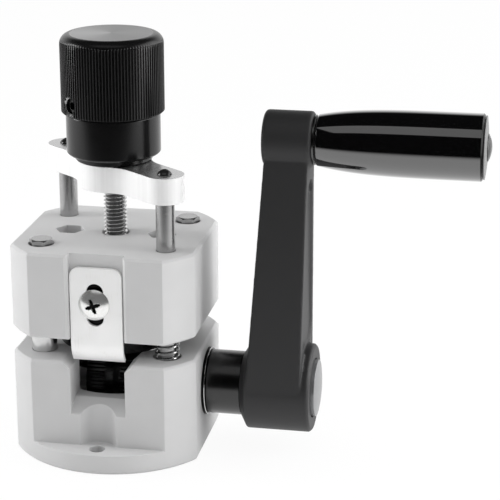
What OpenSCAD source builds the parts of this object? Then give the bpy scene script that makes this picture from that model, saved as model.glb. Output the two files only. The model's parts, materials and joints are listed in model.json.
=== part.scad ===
// Hand crank wire stripper, in millimetres.
// The origin is the centre of the base block's underside, +Z is up, the wire goes in at -Y and
// the crank is on the +X side. The head is drawn at its lowest position.

/* [Bar stock] */
// Diameter of the round bar that both blocks are cut from
stock_d = 88.9; // [86:0.1:96]
// Distance between the two side flats
side_flats = 76.2; // [75:0.1:80]
// Distance between the front flat and the back flat
front_flats = 69.85; // [68:0.05:74]
// Bevel along the blocks' top and bottom edges
edge_bevel = 1; // [0.4:0.1:1.5]

/* [Base block] */
// Height of the base block
base_h = 44.06; // [43:0.01:48]
// Height of the round flange left at the foot of the front and back flats
flange_h = 8.35; // [6:0.05:11]
// Width of the wire channel
channel_w = 22.6; // [18:0.1:25]
// Depth of the wire channel
channel_depth = 17.06; // [14:0.01:18]
// Drop from the channel's floor to its front edge, where its ramp starts
lip_drop = 5.3; // [3:0.1:8]
// Length of the ramp from the lip to the floor
ramp_run = 7; // [4:0.1:9]
// Width of the flare on each side of the channel's top
flare_run = 3.2; // [1.5:0.1:4]
// Height of that flare
flare_rise = 3; // [1.5:0.1:4]
// Radius of the round pocket that holds the feed roller
pocket_r = 23.4; // [22:0.1:24]
// Distance from the crank's axis down to the pocket's floor
pocket_drop = 14.6; // [14.2:0.1:17]
// Distance between the two mounting holes
mount_span = 75; // [74:0.1:78]
// Diameter of the mounting holes
mount_d = 6.4; // [5:0.1:7]
// Radius of the half-round slot that clears each mounting screw's head
scallop_r = 8.5; // [7.5:0.1:9]
// Distance from the block's axis to the slot's axis
scallop_y = 39; // [38.5:0.1:41]

/* [Head block] */
// Height of the head block
head_h = 35.65; // [34:0.05:40]
// Gap between the two blocks
head_gap = 9.39; // [8.8:0.01:12]
// Width of the groove down the front of the head
groove_w = 22.6; // [22:0.1:26]
// Depth of that groove
groove_depth = 4; // [3:0.1:5]
// Bevel along the groove's two front edges
groove_bevel = 1.2; // [0.4:0.1:1.5]
// Width across the flats of the hex pockets in the head's top
hex_pocket_af = 10.5; // [10.2:0.1:12]
// Depth of the hex pockets
hex_pocket_depth = 14; // [8:0.1:16]
// How far the head rises from its lowest position
head_travel = 11.1125; // [6:0.0125:12]

/* [Posts, pins and springs] */
// Distance from the axis to a post, from side to side
post_x = 25.7; // [25.4:0.1:27]
// Distance from the axis to a post, from front to back
post_y = 20.5; // [20:0.1:22]
// Diameter of the posts
post_d = 7.6; // [7:0.1:7.8]
// Diameter of the guide pins
pin_d = 10.2; // [9:0.1:11]
// How far the guide pins stand above the head
pin_stand = 2; // [1:0.1:4]
// Depth of wire spring seats in each block
spring_seat = 8; // [6:0.1:9]
// Gap between a post and the spring round it
spring_slack = 0.35; // [0.35:0.05:0.5]
// Diameter of the spring wire
spring_wire = 1; // [0.8:0.05:1.1]
// Curls in each spring
spring_curls = 11; // [8:1:12]

/* [Crossbar] */
// Height of the crossbar's underside above the head
bar_lift = 20.6; // [18:0.1:24]
// Thickness of the crossbar
bar_t = 10.7; // [9:0.1:13]
// Radius of the crossbar's hub
bar_hub_r = 15.2; // [13:0.1:17]
// Half of the width of its arms
bar_arm_r = 7.8; // [7:0.1:9]
// Radius of the blends between hub and arms
bar_blend_r = 14; // [10:0.5:18]

/* [Spindle and knob] */
// Outer diameter of the spindle's thread
thread_d = 9.525; // [9:0.025:9.6]
// Pitch of the thread
thread_pitch = 1.5875; // [1.25:0.0125:2]
// Diameter of the knob's neck
neck_d = 31.3; // [28:0.1:34]
// Height of the neck
neck_h = 2.3; // [1.5:0.1:4]
// Diameter of the smooth collar
collar_d = 38.1; // [36:0.1:40]
// Height of the smooth collar
collar_h = 17.2; // [14:0.1:22]
// Diameter of the knurled cap
cap_d = 41.3; // [40.5:0.1:45]
// Height of the knurled cap
cap_h = 31.5; // [28:0.1:36]
// Radius of the cap's rounded shoulder
cap_round = 3.6; // [2:0.1:5]
// Ridges round the cap
knurl_count = 104; // [60:1:120]
// Depth of the ridges
knurl_depth = 0.45; // [0.3:0.05:0.6]

/* [Guide plate] */
// Width of the guide plate
plate_w = 21.5; // [20:0.1:21.6]
// Thickness of its sheet
plate_t = 1.5; // [1:0.1:2]
// Distance from the head's top down to the plate's top
plate_drop = 5.4; // [4:0.1:7]
// Radius of the plate's top corners
plate_corner = 4; // [2:0.1:5]
// Distance from the head's underside down to the line where the plate starts to curl back
curl_drop = 2.1; // [1.5:0.1:3]
// Radius of the curl, at the front of the sheet
curl_r = 11.5; // [9:0.1:14]
// Angle that the curl turns through
curl_angle = 38; // [25:1:45]
// Length of the flat lip past the curl
lip_len = 1; // [0.5:0.1:2]
// Length of the adjusting slot
slot_len = 17.7; // [16:0.1:19]
// Width of the adjusting slot
slot_w = 6.9; // [6.4:0.1:7.4]
// Diameter of the plate screw's head
plate_screw_head_d = 12.9; // [11:0.1:14]

/* [Blade] */
// Diameter of the cutting blade
blade_d = 32; // [30:0.1:32.4]
// Thickness of the blade
blade_t = 2.5; // [2:0.1:3]
// Gap between the blade's edge and the crown of the feed roller
blade_gap = 0.8; // [0.5:0.1:1.5]
// Radius of the round blade carrier
carrier_r = 24; // [23:0.1:25]
// How far the carrier hangs below the head
carrier_drop = 7.45; // [6:0.05:8]

/* [Crank shaft] */
// Distance from the base block's top down to the crank's axis
crank_drop = 17.86; // [17:0.01:18]
// Diameter of the shaft
shaft_d = 12; // [11:0.1:12.5]
// Outer diameter of the bearings
bearing_d = 28; // [26:0.1:29]
// Width of the bearings
bearing_w = 8; // [7:0.1:9]
// How far the crank side's bearing stands out of the block
bearing_stand = 1.4; // [0.8:0.1:2]
// Diameter of the feed roller
roller_d = 25; // [23:0.1:25.4]
// Length of the roller's face
roller_len = 22; // [18:0.1:24]
// Depth of the groove round the roller
roller_groove = 1.5; // [1:0.1:2]
// Diameter of the sleeve between block and crank
sleeve_d = 26.5; // [25:0.1:27]
// Length of the sleeve
sleeve_len = 14.2; // [12:0.1:18]

/* [Crank arm and grip] */
// Distance between the crank's axis and the grip's axis
crank_radius = 105.5; // [80:0.5:120]
// Radius of the arm's lower boss
hub_r = 18.3; // [17:0.1:21]
// Length of the lower boss
hub_len = 29.4; // [27:0.1:33]
// Radius of the arm's top boss
top_boss_r = 11.4; // [10:0.1:13]
// Length of the top boss
top_boss_len = 19.8; // [18:0.1:23]
// Half of the arm's width at the grip's axis
arm_tip_w = 8.7; // [8:0.1:10]
// Length of the grip
grip_len = 65.6; // [55:0.1:80]
// Radius of the grip where it meets the arm
grip_near_r = 10.3; // [9:0.1:11]
// Radius of the grip at its outer end
grip_far_r = 13.4; // [12:0.1:15]
// Diameter of the grip's spindle
grip_spindle_d = 8; // [7:0.1:9]

/* [Hidden] */
$fn = 96;

// Clearances
// Overrun of every cut
cut = 2;
// Radial clearance of a shaft, pin, screw or bush in its hole
fit_gap = 0.05;
// Clearance between faces that move past one another
face_gap = 0.3;
// Radial clearance of the head on the posts and pins that it slides on
slide_gap = 0.1;

// Blocks
stock_r = stock_d / 2;
side_x = side_flats / 2;
front_y = front_flats / 2;
channel_floor = base_h - channel_depth;
channel_lip = channel_floor - lip_drop;
crank_z = base_h - crank_drop;
pocket_floor = crank_z - pocket_drop;
head_z = base_h + head_gap;
head_top = head_z + head_h;
hex_pocket_x = 19.4;
hex_floor = head_top - hex_pocket_depth;
pocket_sides = 96;

// Posts and pins
post_foot = 14;
post_screw_d = 5;
post_screw_grip = 12;
post_screw_head_d = 8.5;
post_screw_head_h = 5;
post_screw_hex = 4;
post_screw_counterbore = 5.5;
pin_foot = 8;
pin_bevel = 0.6;
pin_hex_h = 3;
pin_hex_d = pin_d - 0.3;
pin_hex_bevel = 0.5;
pin_hex_turn = 15;
spring_mean_d = post_d + spring_wire + 2 * spring_slack;
spring_bore_slack = 0.55;
spring_bore_d = spring_mean_d + spring_wire + 2 * spring_bore_slack;
spring_low = base_h - spring_seat;
spring_high = head_z + spring_seat;
spring_rings = 8;
spring_sides = 6;

// Crossbar
bar_z = head_top + bar_lift;
bar_top = bar_z + bar_t;
bar_reach = norm([post_x, post_y]);
bar_turn = -atan(post_y / post_x);
bar_screw_d = 3;
bar_screw_grip = 8;
bar_screw_head_d = 6;
bar_screw_head_h = 2;
bar_screw_hex = 2;

// Spindle and knob
thread_depth_share = 0.54;
crest_share = 0.2;
thread_root_d = thread_d - 2 * thread_depth_share * thread_pitch;
thrust_depth = 9.1;
seat_z = head_top - thrust_depth;
thrust_pad_t = 2;
spindle_slack = 0.4;
thrust_bore_d = thread_d + 2 * spindle_slack;
thrust_countersink = 0.6;
spindle_foot = seat_z + thrust_pad_t + fit_gap;
knob_z = bar_top + face_gap;
collar_z = knob_z + neck_h;
cap_z = collar_z + collar_h;
collar_bevel = 0.8;
stem_d = 28;
stem_h = 19;
spindle_grip_in_stem = 9;
spindle_top = cap_z + spindle_grip_in_stem;
knob_web = 2;
knob_screw_d = 5;
knob_screw_grip = 14;
knob_screw_head_d = 8.4;
knob_screw_head_h = 5;
knob_screw_hex = 4;
set_screw_d = 6;
set_screw_len = 5;
set_screw_hex = 3;
set_screw_rise = 4.3;
set_screw_turn = 227.5;
cap_bevel = 0.4;
knurl_step = 0.1;
crest_cut_share = 0.3;

// Guide plate
plate_x = -0.3;
plate_back = -front_y + groove_depth - face_gap / 2;
plate_top = head_top - plate_drop;
curl_z = head_z - curl_drop;
curl_steps = 12;
slot_shift = -0.4;
plate_screw_d = 5;
plate_screw_reach = 11;
plate_screw_x = -1.1;
plate_screw_head_h = 2.4;
recess_w = 1.1;
recess_len = 6.4;
recess_depth = 1.6;
recess_turn = 20;

// Blade
roller_top = crank_z + roller_d / 2;
blade_z = roller_top + blade_gap + blade_d / 2;
blade_grind = 2.5;
blade_bore_d = 10;
axle_d = 6;
axle_reach = 15;
bush_len = 7.4;
spacer_d = 14;
blade_slot_w = bush_len + 2 * face_gap;
blade_clearance = 0.8;
blade_slot_r = blade_d / 2 + blade_clearance;
carrier_z = head_z - carrier_drop;
carrier_seat = 8.6;
carrier_top = head_z + carrier_seat;
plate_screw_share = 0.231;
plate_screw_z = carrier_top + plate_screw_share * (head_top - carrier_top);
slot_above = 8.8;
slot_top = plate_screw_z + slot_above;
blade_roof = blade_z + blade_slot_r;
bolt_d = 6;
bolt_head_af = 10;
bolt_head_h = 4;
bolt_cover = 2.5;
bolt_foot = carrier_z + bolt_cover;

// Crank shaft
bearing_right_x = side_x + bearing_stand - bearing_w;
bearing_sink = 1.5;
bearing_left_x = -side_x + bearing_sink;
race_out_t = 2.4;
race_in_t = 2.6;
race_out_r = bearing_d / 2 - race_out_t;
race_in_r = shaft_d / 2 + race_in_t;
bearing_pitch_r = (race_out_r + race_in_r) / 2;
race_groove = 0.7;
ball_d = race_out_r - race_in_r + 2 * race_groove;
ball_count = 8;
ball_sides = 24;
shield_t = 0.4;
shield_inset = 0.3;
shaft_tunnel_d = 20;
clip_t = 1.1;
clip_wall = 2.5;
clip_d = shaft_d + 2 * clip_wall;
clip_groove = 0.7;
shaft_left = bearing_left_x - clip_t - face_gap;
sleeve_nose_wall = 2;
sleeve_nose_d = shaft_d + 2 * sleeve_nose_wall;
sleeve_nose = bearing_right_x + bearing_w;
hub_x = sleeve_nose + sleeve_len;
hub_bevel_run = 2.9;
hub_bevel_rise = 5;
hub_end = hub_x + hub_len;
hub_bore_depth = 6;
hub_bore_wall = 6.1;
hub_bore_r = hub_r - hub_bore_wall;
shaft_right = hub_end - hub_bore_depth - face_gap;
key_w = 4;
key_h = 4;
key_len = 14;
key_inset = 5;
key_x = hub_x + key_inset;
roller_hub_len = 5;
roller_hub_drop = 2.5;
roller_hub_d = roller_d - 2 * roller_hub_drop;
roller_groove_w = 3.6;
roller_knurls = 48;
roller_knurl_depth = 0.3;
roller_screw_d = 5;

// Crank arm and grip
grip_z = crank_z + crank_radius;
arm_root_step = 3.1;
arm_tip_step = 9.8;
arm_root_set = 3.6;
arm_tip_set = 2.4;
arm_root_in = hub_x + arm_root_step;
arm_tip_in = hub_x + arm_tip_step;
arm_root_out = hub_end - arm_root_set;
arm_tip_out = hub_end - arm_tip_set;
top_boss_set = 1.2;
top_boss_end = hub_end - top_boss_set;
top_boss_x = top_boss_end - top_boss_len;
recess_deep = 1.8;
recess_rim = 4;
recess_low = 27;
recess_head = 23.5;
recess_high = crank_radius - recess_head;
hub_washer_d = 20;
hub_washer_t = 1.6;
hub_screw_d = 6;
hub_screw_head_d = 10;
hub_screw_head_h = 3.2;
hub_screw_grip = 16;
hub_cap_margin = 0.5;
hub_cap_r = hub_bore_r - hub_cap_margin;
hub_cap_wall = 1.1;
hub_cap_sink = 3.2;
hub_cap_stand = 1.4;
hub_cap_skirt = hub_cap_sink + hub_cap_stand;
hub_cap_dome = 1.2;
hub_cap_foot = 1;
dome_sides = 192;
washer_t = 0.9;
washer_margin = 1.4;
washer_r = top_boss_r - washer_margin;
grip_x = top_boss_end + washer_t + face_gap;
grip_end = grip_x + grip_len;
grip_swell = 4.5;
grip_steps = 16;
grip_crowding = 1.6;
spindle_grip = 17;
spindle_end = grip_end + face_gap;
end_cap_margin = 0.8;
end_cap_r = grip_far_r - end_cap_margin;
end_cap_edge = 0.5;
end_cap_dome = 0.9;
end_screw_d = 5;
end_screw_grip = 12;
end_screw_head_r = 5.6;
end_screw_head_h = 1.4;
end_screw_slot = 1.2;

// Colours
bar_stock = "#c9cbcd";
bright_aluminium = "#dfe1e3";
polished_steel = "#b9bcc0";
dark_steel = "#2c2d30";
black_anodised = "#17181a";
cast_black = "#38393b";
stainless = "#d9dbdd";
bronze = "#a98a54";

// Helpers

// Puts a shape that stands along Z on an axis along +X
module along_x(x, y, z) translate([x, y, z]) rotate([0, 90, 0]) children();

// Extrudes an outline of Y and Z along X, about the middle
module yz_prism(w) rotate([90, 0, 90]) linear_extrude(w, center = true) children();

// Extrudes an outline of X and Z along Y, about the middle
module xz_prism(w) rotate([90, 0, 0]) linear_extrude(w, center = true) children();

// The two posts stand on one diagonal and the two guide pins on the other
module at_posts() for (s = [1, -1]) translate([s * post_x, -s * post_y, 0]) children();
module at_pins() for (s = [1, -1]) translate([-s * post_x, -s * post_y, 0]) children();

// A round bar with both ends bevelled
module bevelled_bar(d, h, b) {
    rotate_extrude()
        polygon([[0, 0], [d / 2 - b, 0], [d / 2, b], [d / 2, h - b], [d / 2 - b, h], [0, h]]);
}

module ring(d_out, d_in, h) difference() {
    cylinder(d = d_out, h = h);
    translate([0, 0, -cut]) cylinder(d = d_in, h = h + 2 * cut);
}

// The section of a block across its flats, with the flats starting above a flange where there is one
function flats_outline(half, h, foot) = foot == 0
    ? [[edge_bevel - half, 0], [half - edge_bevel, 0], [half, edge_bevel], [half, h - edge_bevel],
       [half - edge_bevel, h], [edge_bevel - half, h], [-half, h - edge_bevel], [-half, edge_bevel]]
    : [[-stock_r, 0], [stock_r, 0], [stock_r, foot], [half, foot], [half, h - edge_bevel],
       [half - edge_bevel, h], [edge_bevel - half, h], [-half, h - edge_bevel], [-half, foot],
       [-stock_r, foot]];

// A length of round bar with four flats milled on it
module bar_block(h, foot) intersection() {
    bevelled_bar(stock_d, h, edge_bevel);
    xz_prism(stock_d) polygon(flats_outline(side_x, h, 0));
    yz_prism(stock_d) polygon(flats_outline(front_y, h, foot));
}

// A socket head cap screw that points down, its head's underside at the origin
module cap_screw(d, grip, head_d, head_h, hex) difference() {
    union() {
        translate([0, 0, -grip]) cylinder(d = d, h = grip);
        cylinder(d = head_d, h = head_h);
    }
    translate([0, 0, head_h / 2]) cylinder(d = hex / cos(30), h = head_h, $fn = 6);
}

// A set screw along +Z from the origin, its socket at the far end
module set_screw(d, h, hex) difference() {
    cylinder(d = d, h = h);
    translate([0, 0, h / 2]) cylinder(d = hex / cos(30), h = h, $fn = 6);
}

// Base group

module channel_cut() {
    translate([-channel_w / 2, -stock_r, channel_floor]) cube([channel_w, stock_d, base_h]);
    xz_prism(stock_d) polygon([
        [-channel_w / 2, base_h - flare_rise], [channel_w / 2, base_h - flare_rise],
        [channel_w / 2 + flare_run, base_h], [channel_w / 2 + flare_run, base_h + cut],
        [-channel_w / 2 - flare_run, base_h + cut], [-channel_w / 2 - flare_run, base_h]]);
    for (turn = [0, 180]) rotate([0, 0, turn]) yz_prism(channel_w) polygon([
        [-stock_r, channel_lip], [-front_y, channel_lip], [ramp_run - front_y, channel_floor],
        [ramp_run - front_y, channel_floor + cut], [-stock_r, channel_floor + cut]]);
}

module mount_cuts() for (turn = [0, 180]) rotate([0, 0, turn]) {
    translate([0, -mount_span / 2, -cut]) cylinder(d = mount_d, h = flange_h + 2 * cut);
    translate([0, -scallop_y, flange_h]) cylinder(r = scallop_r, h = channel_floor);
}

module bearing_cuts() {
    along_x(bearing_right_x, 0, crank_z) cylinder(d = bearing_d + 2 * fit_gap, h = bearing_w + cut);
    along_x(-side_x - cut, 0, crank_z)
        cylinder(d = bearing_d + 2 * fit_gap, h = bearing_left_x + bearing_w + side_x + cut);
    along_x(-side_x, 0, crank_z) cylinder(d = shaft_tunnel_d, h = side_flats);
}

module post_cuts() {
    at_posts() {
        translate([0, 0, post_foot]) cylinder(d = post_d + 2 * fit_gap, h = base_h);
        translate([0, 0, spring_low]) cylinder(d = spring_bore_d, h = base_h);
        translate([0, 0, -cut]) cylinder(d = post_screw_d + 2 * fit_gap, h = base_h / 2);
        translate([0, 0, -cut])
            cylinder(d = post_screw_head_d + 2 * face_gap, h = post_screw_counterbore + cut);
    }
    at_pins() translate([0, 0, pin_foot]) cylinder(d = pin_d + 2 * fit_gap, h = base_h);
}

module base_block() color(bar_stock) difference() {
    bar_block(base_h, flange_h);
    channel_cut();
    translate([0, 0, pocket_floor]) cylinder(r = pocket_r, h = base_h, $fn = pocket_sides);
    mount_cuts();
    bearing_cuts();
    post_cuts();
}

module post(s) color(polished_steel) translate([s * post_x, -s * post_y, 0]) difference() {
    translate([0, 0, post_foot]) cylinder(d = post_d, h = bar_z - post_foot);
    translate([0, 0, post_foot - cut])
        cylinder(d = post_screw_d + 2 * fit_gap, h = post_screw_grip + 2 * cut);
    translate([0, 0, bar_z - bar_screw_grip - cut])
        cylinder(d = bar_screw_d + 2 * fit_gap, h = bar_screw_grip + 2 * cut);
}

module post_right() post(1);
module post_left() post(-1);

// A guide pin, with a hexagon at its top that a spanner turns
module guide_pin(s, hex_turn) color(polished_steel) translate([-s * post_x, -s * post_y, 0]) {
    hex_foot = head_top + pin_stand - pin_hex_h;
    translate([0, 0, pin_foot]) bevelled_bar(pin_d, hex_foot - pin_foot, pin_bevel);
    translate([0, 0, hex_foot - pin_bevel]) rotate([0, 0, hex_turn]) intersection() {
        cylinder(d = pin_hex_d, h = pin_hex_h + pin_bevel, $fn = 6);
        rotate_extrude() polygon([
            [0, 0], [pin_hex_d / 2, 0], [pin_hex_d / 2, pin_hex_h + pin_bevel - pin_hex_bevel],
            [pin_hex_d * cos(30) / 2 - pin_hex_bevel / 2, pin_hex_h + pin_bevel],
            [0, pin_hex_h + pin_bevel]]);
    }
}

module guide_pin_left() guide_pin(1, 0);
module guide_pin_right() guide_pin(-1, pin_hex_turn);

module post_screws() color(dark_steel) at_posts() translate([0, 0, post_screw_counterbore])
    mirror([0, 0, 1]) cap_screw(post_screw_d, post_foot + post_screw_grip - post_screw_counterbore,
                                post_screw_head_d, post_screw_head_h, post_screw_hex);

// Crossbar group

// The crossbar along X: a hub and two arms, joined by concave blends that touch both
module bar_body() {
    blend_x = sqrt(pow(bar_hub_r + bar_blend_r, 2) - pow(bar_arm_r + bar_blend_r, 2));
    blend_y = bar_arm_r + bar_blend_r;
    touch = [blend_x, blend_y] * bar_hub_r / (bar_hub_r + bar_blend_r);
    difference() {
        linear_extrude(bar_t) polygon([
            touch, [-touch[0], touch[1]], [-blend_x, bar_arm_r], [-bar_reach, bar_arm_r],
            [-bar_reach, -bar_arm_r], [-blend_x, -bar_arm_r], -touch, [touch[0], -touch[1]],
            [blend_x, -bar_arm_r], [bar_reach, -bar_arm_r], [bar_reach, bar_arm_r], [blend_x, bar_arm_r]]);
        for (m = [1, -1], n = [1, -1]) translate([m * blend_x, n * blend_y, -cut])
            cylinder(r = bar_blend_r, h = bar_t + 2 * cut);
    }
    cylinder(r = bar_hub_r, h = bar_t);
    for (s = [1, -1]) translate([s * bar_reach, 0, 0]) cylinder(r = bar_arm_r, h = bar_t);
}

module crossbar() color(bright_aluminium) difference() {
    translate([0, 0, bar_z]) rotate([0, 0, bar_turn]) bar_body();
    translate([0, 0, bar_z - cut]) cylinder(d = thread_d + 2 * fit_gap, h = bar_t + 2 * cut);
    at_posts() translate([0, 0, bar_z - cut])
        cylinder(d = bar_screw_d + 2 * fit_gap, h = bar_t + 2 * cut);
}

module button_head(r, h) rotate_extrude() intersection() {
    translate([0, h - (r * r + h * h) / (2 * h)]) circle((r * r + h * h) / (2 * h));
    square([r, h]);
}

module crossbar_screws() color(dark_steel) at_posts() translate([0, 0, bar_top]) difference() {
    union() {
        translate([0, 0, -bar_t - bar_screw_grip]) cylinder(d = bar_screw_d, h = bar_t + bar_screw_grip);
        button_head(bar_screw_head_d / 2, bar_screw_head_h);
    }
    translate([0, 0, bar_screw_head_h / 4])
        cylinder(d = bar_screw_hex / cos(30), h = bar_screw_head_h, $fn = 6);
}

// Head group

module head_block() color(bar_stock) difference() {
    translate([0, 0, head_z]) bar_block(head_h, 0);
    translate([-groove_w / 2, -stock_r, head_z - cut])
        cube([groove_w, stock_r - front_y + groove_depth, head_h + 2 * cut]);
    translate([0, 0, head_z - cut]) linear_extrude(head_h + 2 * cut) polygon([
        [-groove_w / 2 - groove_bevel - cut, -front_y - cut], [-groove_w / 2, groove_bevel - front_y],
        [groove_w / 2, groove_bevel - front_y], [groove_w / 2 + groove_bevel + cut, -front_y - cut]]);
    at_posts() {
        translate([0, 0, head_z - cut]) cylinder(d = post_d + 2 * slide_gap, h = head_h + 2 * cut);
        translate([0, 0, head_z - cut]) cylinder(d = spring_bore_d, h = spring_seat + cut);
    }
    at_pins() translate([0, 0, head_z - cut]) cylinder(d = pin_d + 2 * slide_gap, h = head_h + 2 * cut);
    translate([0, 0, head_z - cut]) cylinder(r = carrier_r + fit_gap, h = carrier_top - head_z + cut);
    translate([-blade_slot_w / 2, -blade_slot_r, head_z - cut])
        cube([blade_slot_w, 2 * blade_slot_r, blade_roof - head_z + cut]);
    translate([0, 0, seat_z]) cylinder(d = thrust_bore_d, h = head_h);
    translate([0, 0, head_top - thrust_countersink])
        cylinder(d1 = thrust_bore_d, d2 = thrust_bore_d + 4 * thrust_countersink, h = 2 * thrust_countersink);
    for (s = [1, -1]) translate([s * hex_pocket_x, 0, 0]) {
        translate([0, 0, head_z]) cylinder(d = bolt_d + 2 * fit_gap, h = head_h);
        translate([0, 0, hex_floor]) cylinder(d = hex_pocket_af / cos(30), h = head_h, $fn = 6);
    }
    translate([plate_screw_x, 0, plate_screw_z]) rotate([90, 0, 0]) translate([0, 0, front_y - groove_depth
        - plate_screw_reach]) cylinder(d = plate_screw_d + 2 * fit_gap, h = plate_screw_reach + cut);
}

// The plate's section: a straight back, the curl and a lip, each side offset by the sheet
function plate_side(depth) = let (
    axis_y = plate_back - plate_t + curl_r,
    r = curl_r - depth,
    lip = [sin(curl_angle), -cos(curl_angle)] * lip_len,
    rim = [axis_y - r * cos(curl_angle), curl_z - r * sin(curl_angle)])
    concat([[axis_y - r, plate_top]],
           [for (k = [0:curl_steps]) let (a = curl_angle * k / curl_steps)
               [axis_y - r * cos(a), curl_z - r * sin(a)]],
           [rim + lip]);

module plate_section() {
    front = plate_side(0);
    back = plate_side(plate_t);
    polygon(concat(front, [for (k = [len(back) - 1:-1:0]) back[k]]));
}

module plate_face() {
    straight = plate_w - 2 * plate_corner;
    translate([-plate_w / 2, 0]) square([plate_w, plate_top - plate_corner]);
    translate([-straight / 2, 0]) square([straight, plate_top]);
    for (s = [1, -1]) translate([s * straight / 2, plate_top - plate_corner]) circle(plate_corner);
}

module plate_slot() translate([slot_shift, 0]) {
    for (z = [slot_top - slot_w / 2, slot_top - slot_len + slot_w / 2]) translate([0, z]) circle(d = slot_w);
    translate([-slot_w / 2, slot_top - slot_len + slot_w / 2]) square([slot_w, slot_len - slot_w]);
}

module guide_plate() color(stainless) translate([plate_x, 0, 0]) difference() {
    intersection() {
        yz_prism(plate_w) plate_section();
        xz_prism(stock_d) plate_face();
    }
    xz_prism(stock_d) plate_slot();
}

module guide_plate_screw() color(polished_steel)
    translate([plate_screw_x, plate_back - plate_t - fit_gap, plate_screw_z]) rotate([90, 0, 0]) difference() {
        union() {
            translate([0, 0, -plate_t - plate_screw_reach])
                cylinder(d = plate_screw_d, h = plate_t + plate_screw_reach);
            button_head(plate_screw_head_d / 2, plate_screw_head_h);
        }
        for (turn = [0, 90]) rotate([0, 0, recess_turn + turn]) translate([-recess_len / 2, -recess_w / 2,
            plate_screw_head_h - recess_depth]) cube([recess_len, recess_w, plate_screw_head_h]);
    }

module thrust_pad() color(bronze) translate([0, 0, seat_z])
    cylinder(d = thrust_bore_d - 2 * fit_gap, h = thrust_pad_t);

module blade_carrier() color(black_anodised) difference() {
    translate([0, 0, carrier_z]) cylinder(r = carrier_r, h = carrier_top - carrier_z);
    translate([-blade_slot_w / 2, -blade_slot_r, carrier_z - cut])
        cube([blade_slot_w, 2 * blade_slot_r, carrier_top - carrier_z + 2 * cut]);
    along_x(-axle_reach, 0, blade_z) cylinder(d = axle_d + 2 * fit_gap, h = axle_reach + carrier_r);
    for (s = [1, -1]) translate([s * hex_pocket_x, 0, bolt_foot])
        cylinder(d = bolt_d + 2 * fit_gap, h = head_h);
}

module carrier_bolts() color(dark_steel) for (s = [1, -1]) translate([s * hex_pocket_x, 0, 0]) {
    translate([0, 0, bolt_foot]) cylinder(d = bolt_d, h = hex_floor - bolt_foot);
    translate([0, 0, hex_floor]) cylinder(d = bolt_head_af / cos(30), h = bolt_head_h, $fn = 6);
}

module blade_axle() color(polished_steel)
    along_x(-axle_reach, 0, blade_z)
        cylinder(d = axle_d, h = axle_reach + hex_pocket_x - bolt_d / 2 - face_gap);

// Blade group

module cutting_blade() color(polished_steel) along_x(0, 0, blade_z) rotate_extrude() polygon([
    [blade_bore_d / 2 + fit_gap, -blade_t / 2], [blade_d / 2 - blade_grind, -blade_t / 2],
    [blade_d / 2, 0], [blade_d / 2 - blade_grind, blade_t / 2], [blade_bore_d / 2 + fit_gap, blade_t / 2]]);

module blade_bushing() color(bronze)
    along_x(-bush_len / 2, 0, blade_z) ring(blade_bore_d, axle_d + 2 * fit_gap, bush_len);

module blade_spacers() color(dark_steel) for (side = [0, 180])
    translate([0, 0, blade_z]) rotate([0, 0, side]) along_x(blade_t / 2, 0, 0)
        ring(spacer_d, blade_bore_d + 2 * fit_gap, (bush_len - blade_t) / 2);

// Knob group

// Thread crests and roots, one pair to a pitch, between two heights
function thread_side(low, high) = [for (k = [0:floor((high - low) / thread_pitch) - 1])
    let (mid = low + (k + 1 / 2) * thread_pitch, crest = thread_pitch * crest_share / 2)
    each [[thread_root_d / 2, mid - thread_pitch / 2], [thread_d / 2, mid - crest],
          [thread_d / 2, mid + crest]]];

module spindle() color(polished_steel) difference() {
    rotate_extrude() polygon(concat(
        [[0, spindle_foot]], thread_side(spindle_foot, knob_z),
        [[thread_root_d / 2, knob_z], [thread_d / 2, knob_z], [thread_d / 2, spindle_top], [0, spindle_top]]));
    translate([0, 0, spindle_top - knob_screw_grip])
        cylinder(d = knob_screw_d + 2 * fit_gap, h = knob_screw_grip + cut);
}

module knob_collar() color(black_anodised) difference() {
    union() {
        translate([0, 0, knob_z]) cylinder(d = neck_d, h = neck_h + collar_bevel);
        translate([0, 0, collar_z]) bevelled_bar(collar_d, collar_h, collar_bevel);
        translate([0, 0, knob_z]) cylinder(d = stem_d, h = cap_z - knob_z + stem_h);
    }
    translate([0, 0, knob_z - cut]) cylinder(d = thread_d + 2 * fit_gap, h = spindle_top - knob_z + cut);
    translate([0, 0, spindle_top - cut]) cylinder(d = knob_screw_d + 2 * fit_gap, h = stem_h);
    translate([0, 0, spindle_top + knob_web]) cylinder(d = knob_screw_head_d + 2 * face_gap, h = stem_h);
}

module knob_screw() color(dark_steel) translate([0, 0, spindle_top + knob_web])
    cap_screw(knob_screw_d, knob_web + knob_screw_grip - face_gap,
              knob_screw_head_d, knob_screw_head_h, knob_screw_hex);

module at_set_screw() translate([0, 0, cap_z + set_screw_rise]) rotate([0, 0, set_screw_turn])
    along_x(stem_d / 2 + fit_gap, 0, 0) children();

// A ridged outline, whose crests stand a little past the radius that they are turned down to
function knurl(r, depth, count) = [for (k = [0:2 * count - 1])
    let (a = 180 * k / count, p = k % 2 == 0 ? r + depth * crest_cut_share : r - depth) p * [cos(a), sin(a)]];

module knob_cap() color(black_anodised) difference() {
    translate([0, 0, cap_z]) {
        rotate_extrude() {
            low_r = cap_d / 2 - knurl_depth - knurl_step;
            polygon([[0, 0], [low_r - cap_bevel, 0], [low_r, cap_bevel], [low_r, cap_h - cap_round],
                     [low_r - cap_round, cap_h - cap_round], [low_r - cap_round, cap_h], [0, cap_h]]);
            translate([low_r - cap_round, cap_h - cap_round]) circle(cap_round);
        }
        translate([0, 0, cap_bevel]) linear_extrude(cap_h - cap_round - cap_bevel)
            polygon(knurl(cap_d / 2, knurl_depth, knurl_count));
    }
    translate([0, 0, cap_z - cut]) cylinder(d = stem_d + 2 * fit_gap, h = stem_h + cut + face_gap);
    at_set_screw() translate([0, 0, -cut]) cylinder(d = set_screw_d + 2 * fit_gap, h = cap_d / 2);
}

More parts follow.
